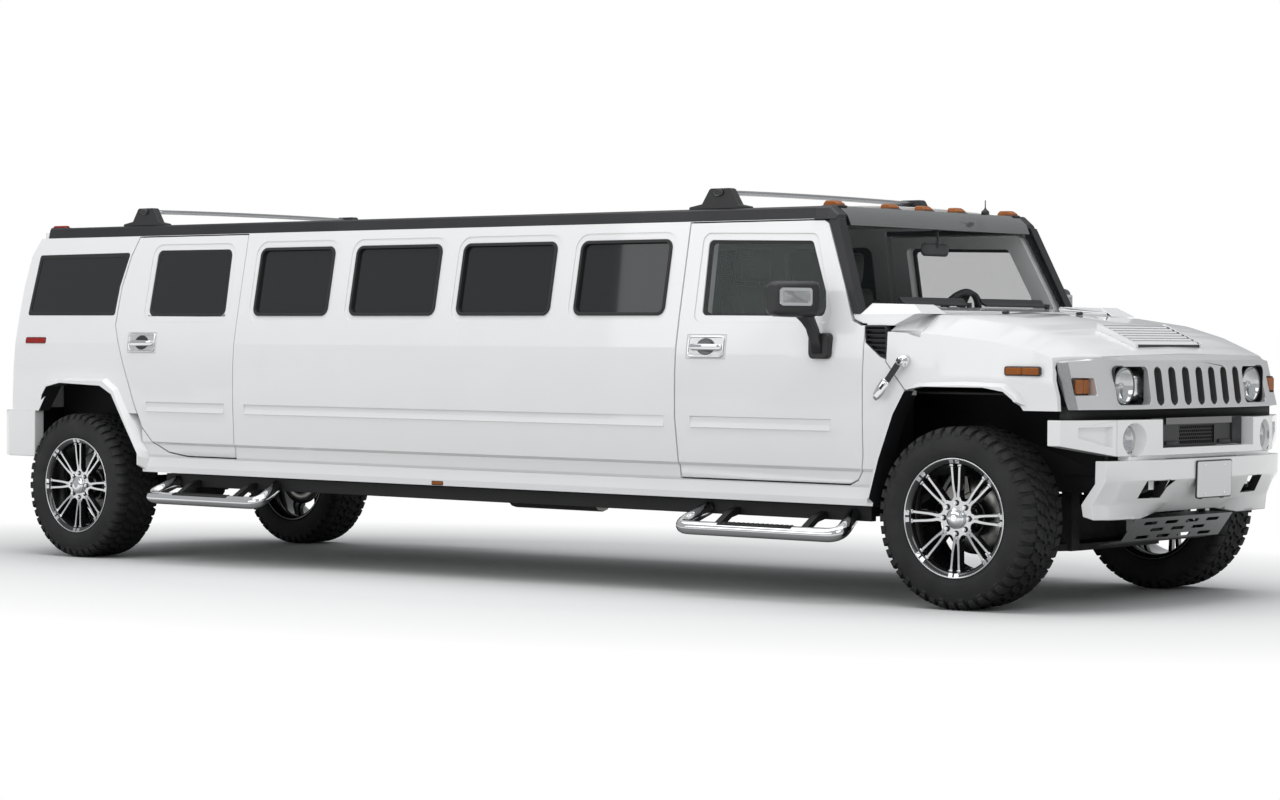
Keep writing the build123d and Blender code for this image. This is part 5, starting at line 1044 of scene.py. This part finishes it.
def cushion(name, centre, size, stands_for, lean=0.0, channels=(), crown=0.22):
    """A stuffed cushion: crowned faces, sides that pull in between the corners, and channels across it.

    size is (length, width, thickness) before it leans by `lean` about the Y axis.
    """
    shape = Shape(LEATHER, at=Matrix.Translation(centre) @ spin(lean))
    length, width, thick = size
    rings = []
    for i in range(37):
        t = -1 + i / 18
        soft = max(0.02, (1 - abs(t) ** 7) ** 0.5)
        pull = 0.965 + 0.035 * abs(t) ** 3
        puff = (1 - crown) + crown * (1 - t * t)
        for k in channels:
            puff -= 0.16 * groove(t, k, 0.022)
        line = []
        for c, s in oval(1, 1, 44):
            across, up = signed_power(c, 0.36), signed_power(s, 0.55)
            y = width / 2 * across * pull * (0.9 + 0.1 * soft)
            z = thick / 2 * up * puff * (1 - 0.12 * across * across) * soft
            line.append((t * length / 2, y, z * 0.86 if s < 0 else z))
        rings.append(line)
    shape.skin(rings)
    shape.done(name, "car", "leather_black", (stands_for,))


def piping(name, centre, size, lean):
    """The sewn cord round a cushion's edge."""
    shape = Shape(LEATHER, at=Matrix.Translation(centre) @ spin(lean))
    path = [(a, b, 0) for a, b in rounded(size[0] * 0.985, size[1] * 0.975, 0.03, 6)]
    shape.tube(path + path[:2], 0.0035, 8)
    shape.done(name, "car", "leather_black")


def front_seat(side, y):
    """A driver's or passenger's chair: plinth, seat cushion, bolsters, back and headrest."""
    base = Shape(CABIN, STEEL)
    base.block((FX - 1.43, y, 0.75), (0.5, 0.44, 0.19), 0.02)
    for way in (-1, 1):
        base.block((FX - 1.43, y + way * 0.19, 0.655), (0.56, 0.035, 0.03), 0.004, 1)
    base.done(f"front_seat_base_{side}", "car", "cabin_plastic")
    for part, place, size, lean, channels in (
        ("", (FX - 1.365, y, 0.925), (0.5, 0.4, 0.155), -0.06, (-0.35, 0.05, 0.45)),
        ("back_", (FX - 1.685, y, 1.25), (0.64, 0.4, 0.13), -1.5, (-0.5, -0.15, 0.2)),
    ):
        cushion(f"front_seat_{part or 'cushion_'}{side}", place, size, "front_seats", lean, channels)
        piping(f"front_seat_{part}piping_{side}", place, size, lean)
    for way, part in ((-1, "inner"), (1, "outer")):
        cushion(f"front_seat_bolster_{part}_{side}", (FX - 1.37, y + way * 0.215, 0.955),
                (0.48, 0.085, 0.15), "front_seats", crown=0.35)
        cushion(f"front_seat_back_bolster_{part}_{side}", (FX - 1.665, y + way * 0.212, 1.23),
                (0.56, 0.085, 0.15), "front_seats", -1.5, crown=0.35)
    cushion(f"front_headrest_{side}", (FX - 1.688, y, 1.675), (0.17, 0.27, 0.09), "front_seats", -1.5,
            crown=0.35)
    posts = Shape(CHROME)
    for way in (-1, 1):
        posts.tube([(FX - 1.69, y + way * 0.06, 1.56), (FX - 1.689, y + way * 0.06, 1.64)], 0.006, 12)
    posts.done(f"front_headrest_posts_{side}", "car", "step_chrome")


def sofa_back(k, x, wide):
    """One stuffed back of the side sofa, with two channels, leaning against the wall."""
    back = Shape(LEATHER)
    rings = []
    for i in range(31):
        t = -1 + i / 15
        soft = max(0.03, (1 - abs(t) ** 7) ** 0.5)
        pinch = 1 - 0.14 * (groove(t, -0.33, 0.03) + groove(t, 0.33, 0.03))
        line = []
        for c, s in oval(1, 1, 36):
            up, deep = signed_power(s, 0.36), signed_power(c, 0.6)
            z = 1.205 + 0.18 * up * (0.94 + 0.06 * soft)
            line.append((x + t * (wide - 0.012) / 2,
                         0.785 + 0.05 * deep * soft * pinch * (1 - 0.25 * up * up) - 0.02 * (1.205 - z), z))
        rings.append(line)
    back.skin(rings)
    back.done(f"sofa_back_{k}", "car", "leather_black", ("lounge_seats",))


def lounge():
    """The side sofa and the rear bench: carpeted plinths with separate stuffed cushions."""
    plinth = Shape(CARPET)
    low, high = RX + 1.425, FX - 2.155
    plinth.prism([(0.31, 0.65), (0.31, 0.885), (0.86, 0.885), (0.86, 0.65)], low, high)
    plinth.prism([(RX - 0.46, 0.775), (RX - 0.46, 1.02), (RX + 0.17, 1.02), (RX + 0.17, 0.775)], -0.67, 0.67,
                 "y")
    plinth.done("lounge_plinth", "car", "leather_black", ("lounge_seats",), bevel=0.004)
    wide = (high - low) / 5
    for k in range(5):
        x = low + wide * (k + 0.5)
        cushion(f"sofa_seat_{k}", (x, 0.52, 0.945), (wide - 0.012, 0.39, 0.125), "lounge_seats",
                channels=(-0.33, 0.33))
        sofa_back(k, x, wide)
    for k in range(3):
        y = (k - 1) * 0.45
        cushion(f"bench_seat_{k}", (RX - 0.025, y, 1.08), (0.37, 0.44, 0.12), "lounge_seats", channels=(0,))
        cushion(f"bench_back_{k}", (RX - 0.335, y, 1.335), (0.4, 0.44, 0.11), "lounge_seats", -1.42,
                (-0.35, 0.1))


def rear_view_mirror():
    """Inside mirror on its arm at the top of the windscreen."""
    shape = Shape(CABIN, CHROME, at=shift(FX - 0.83, 0, 1.752))
    shape.skin([[(x, a, b) for a, b in rounded(0.236 * s, 0.066 * s, 0.03, 6)]
                for x, s in ((0.016, 0.55), (0.012, 0.86), (0.004, 0.99), (-0.004, 1), (-0.008, 0.97))])
    shape.prism(rounded(0.222, 0.054, 0.026, 6), -0.0095, -0.0075, mat=1)
    shape.tube([(0.012, 0, 0.01), (0.02, 0, 0.045), (0.014, 0, 0.085), (0, 0, 0.104)],
               [0.012, 0.009, 0.009, 0.014], 14)
    shape.done("inside_mirror", "car", "cabin_plastic")


def cabin_lining():
    """Cloth headliner, dashboard vents, and the driver's dials."""
    lining = Shape(HEADLINER)
    across = [0.78 - 0.078 * k for k in range(21)]
    lining.facets([[(x, y, z + 0.014 * (1 - (y / 0.78) ** 2)) for z, line in
                    ((1.9035, across), (1.8995, [-y for y in across])) for y in line]
                   for x in (RX - 0.33, -1, 1, FX - 0.95)])
    lining.prism([(0.79, 1.878), (0.79, 1.888), (-0.79, 1.888), (-0.79, 1.878)], FX - 0.99, FX - 0.905)
    lining.done("headliner", "car", "cabin_plastic")
    trim = Shape(CABIN, CHROME, BLACK_GLOSS)
    for y in (-0.7, -0.12, 0.12, 0.7):
        trim.at = shift(FX - 0.9225, y, 1.232) @ spin(0.25)
        trim.ring(rounded(0.12, 0.07, 0.012), rounded(0.106, 0.056, 0.008), -0.01, 0.006, AXES["x"], 1)
        for k in range(4):
            trim.block((0, 0, -0.021 + 0.014 * k), (0.006, 0.106, 0.003), 0.001)
    for y in (0.33, 0.47):
        trim.at = shift(FX - 0.915, y, 1.268) @ spin(0.45)
        trim.turned([(0.05, -0.012), (0.054, -0.012), (0.054, 0.004), (0.05, 0.002)], 36, 1)
        trim.turned([(0, -0.006), (0.05, -0.006), (0.05, -0.002), (0, -0.002)], 36, 2)
    trim.done("dashboard_trim", "car", "cabin_plastic")


for side, at in SIDES.items():
    for make in (roof_corner, fender_fill, door_top_seal, rear_marker, rear_arch_liner):
        make(side, at)
roof_rack()
roof_lamps()
antenna()
washers()
vent_painted_shade()
front_seat("left", 0.4)
front_seat("right", -0.4)
lounge()
rear_view_mirror()
cabin_lining()


# ---------------------------------------------------------------------- stage
def ground():
    """Pale floor near the car, fading into the plain white beyond it. Reflections see it darker."""
    mat, tree, shader = surface("floor")
    make = tree.nodes.new
    tune(shader, Roughness=0.9)
    tone = make("ShaderNodeMix")
    tone.data_type = "RGBA"
    tune(tone, A=(0.24, 0.24, 0.24, 1), B=(0.8, 0.8, 0.8, 1))
    stretch = tune(make("ShaderNodeMapping"), Scale=(1 / 7, 1 / 4, 1))
    reach = make("ShaderNodeVectorMath")
    reach.operation = "LENGTH"
    fade = tune(make("ShaderNodeMapRange"), From_Min=0.55, From_Max=1.0)
    blend = make("ShaderNodeMixShader")
    wire(tree, (make("ShaderNodeLightPath"), "Is Camera Ray", tone, "Factor"),
         (tone, "Result", shader, "Base Color"), (make("ShaderNodeTexCoord"), "Object", stretch, "Vector"),
         (stretch, "Vector", reach, 0), (reach, "Value", fade, "Value"), (fade, "Result", blend, "Fac"),
         (shader, "BSDF", blend, 1), (make("ShaderNodeEmission"), "Emission", blend, 2),
         (blend, "Shader", tree.nodes["Material Output"], "Surface"))
    mesh = bmesh.new()
    bmesh.ops.create_grid(mesh, x_segments=8, y_segments=8, size=60)
    data = bpy.data.meshes.new("floor")
    mesh.to_mesh(data)
    mesh.free()
    data.materials.append(mat)
    floor = bpy.data.objects.new("floor", data)
    floor.location.z = -0.001
    scene.collection.objects.link(floor)


def softbox(name, place, aim, size, power):
    light = bpy.data.lights.new(name, "AREA")
    light.shape = "RECTANGLE"
    light.size, light.size_y = size
    light.energy = power
    lamp = bpy.data.objects.new(name, light)
    lamp.location = place
    lamp.rotation_euler = (Vector(aim) - Vector(place)).to_track_quat("-Z", "Y").to_euler()
    scene.collection.objects.link(lamp)


def sky():
    """White to the eye and through glass, a plain soft light on the car."""
    scene.world = bpy.data.worlds.new("sky")
    scene.world.use_nodes = True
    tree = scene.world.node_tree
    make = tree.nodes.new
    soft = tune(tree.nodes["Background"], Color=(0.96, 0.98, 1, 1), Strength=0.45)
    white = tune(make("ShaderNodeBackground"), Color=(1, 1, 1, 1), Strength=1.0)
    rays = make("ShaderNodeLightPath")
    seen = make("ShaderNodeMath")
    seen.operation = "MAXIMUM"
    blend = make("ShaderNodeMixShader")
    wire(tree, (rays, "Is Camera Ray", seen, 0), (rays, "Is Transmission Ray", seen, 1),
         (seen, "Value", blend, "Fac"), (soft, "Background", blend, 1), (white, "Background", blend, 2),
         (blend, "Shader", tree.nodes["World Output"], "Surface"))


def photo_camera():
    """The camera of the photograph's view, which looks a little down and is rolled a little."""
    heading, pitch, roll = 0.7051, 0.0132, -0.0024
    ahead = Vector((-sin(heading) * cos(pitch), cos(heading) * cos(pitch), -sin(pitch)))
    right = Vector((cos(heading), sin(heading), 0))
    up = right.cross(ahead)
    right, up = cos(roll) * right + sin(roll) * up, cos(roll) * up - sin(roll) * right
    data = bpy.data.cameras.new("camera")
    data.lens = 87.94
    data.sensor_width = 36.0
    camera = bpy.data.objects.new("camera", data)
    camera.matrix_world = shift(11.5226, -13.0821, 1.1793) @ Matrix((right, up, -ahead)).transposed().to_4x4()
    scene.collection.objects.link(camera)
    scene.camera = camera


ground()
sky()
softbox("overhead", (0.5, -1, 7), (0, 0, 0.6), (12, 7), 430)
softbox("front_key", (9.5, -6.5, 6.6), (1.5, 0, 0.8), (5, 3.5), 130)
softbox("side_fill", (-2, -11, 4.6), (-0.5, 0, 1.2), (11, 3.5), 165)
photo_camera()
scene.view_settings.view_transform = "Standard"
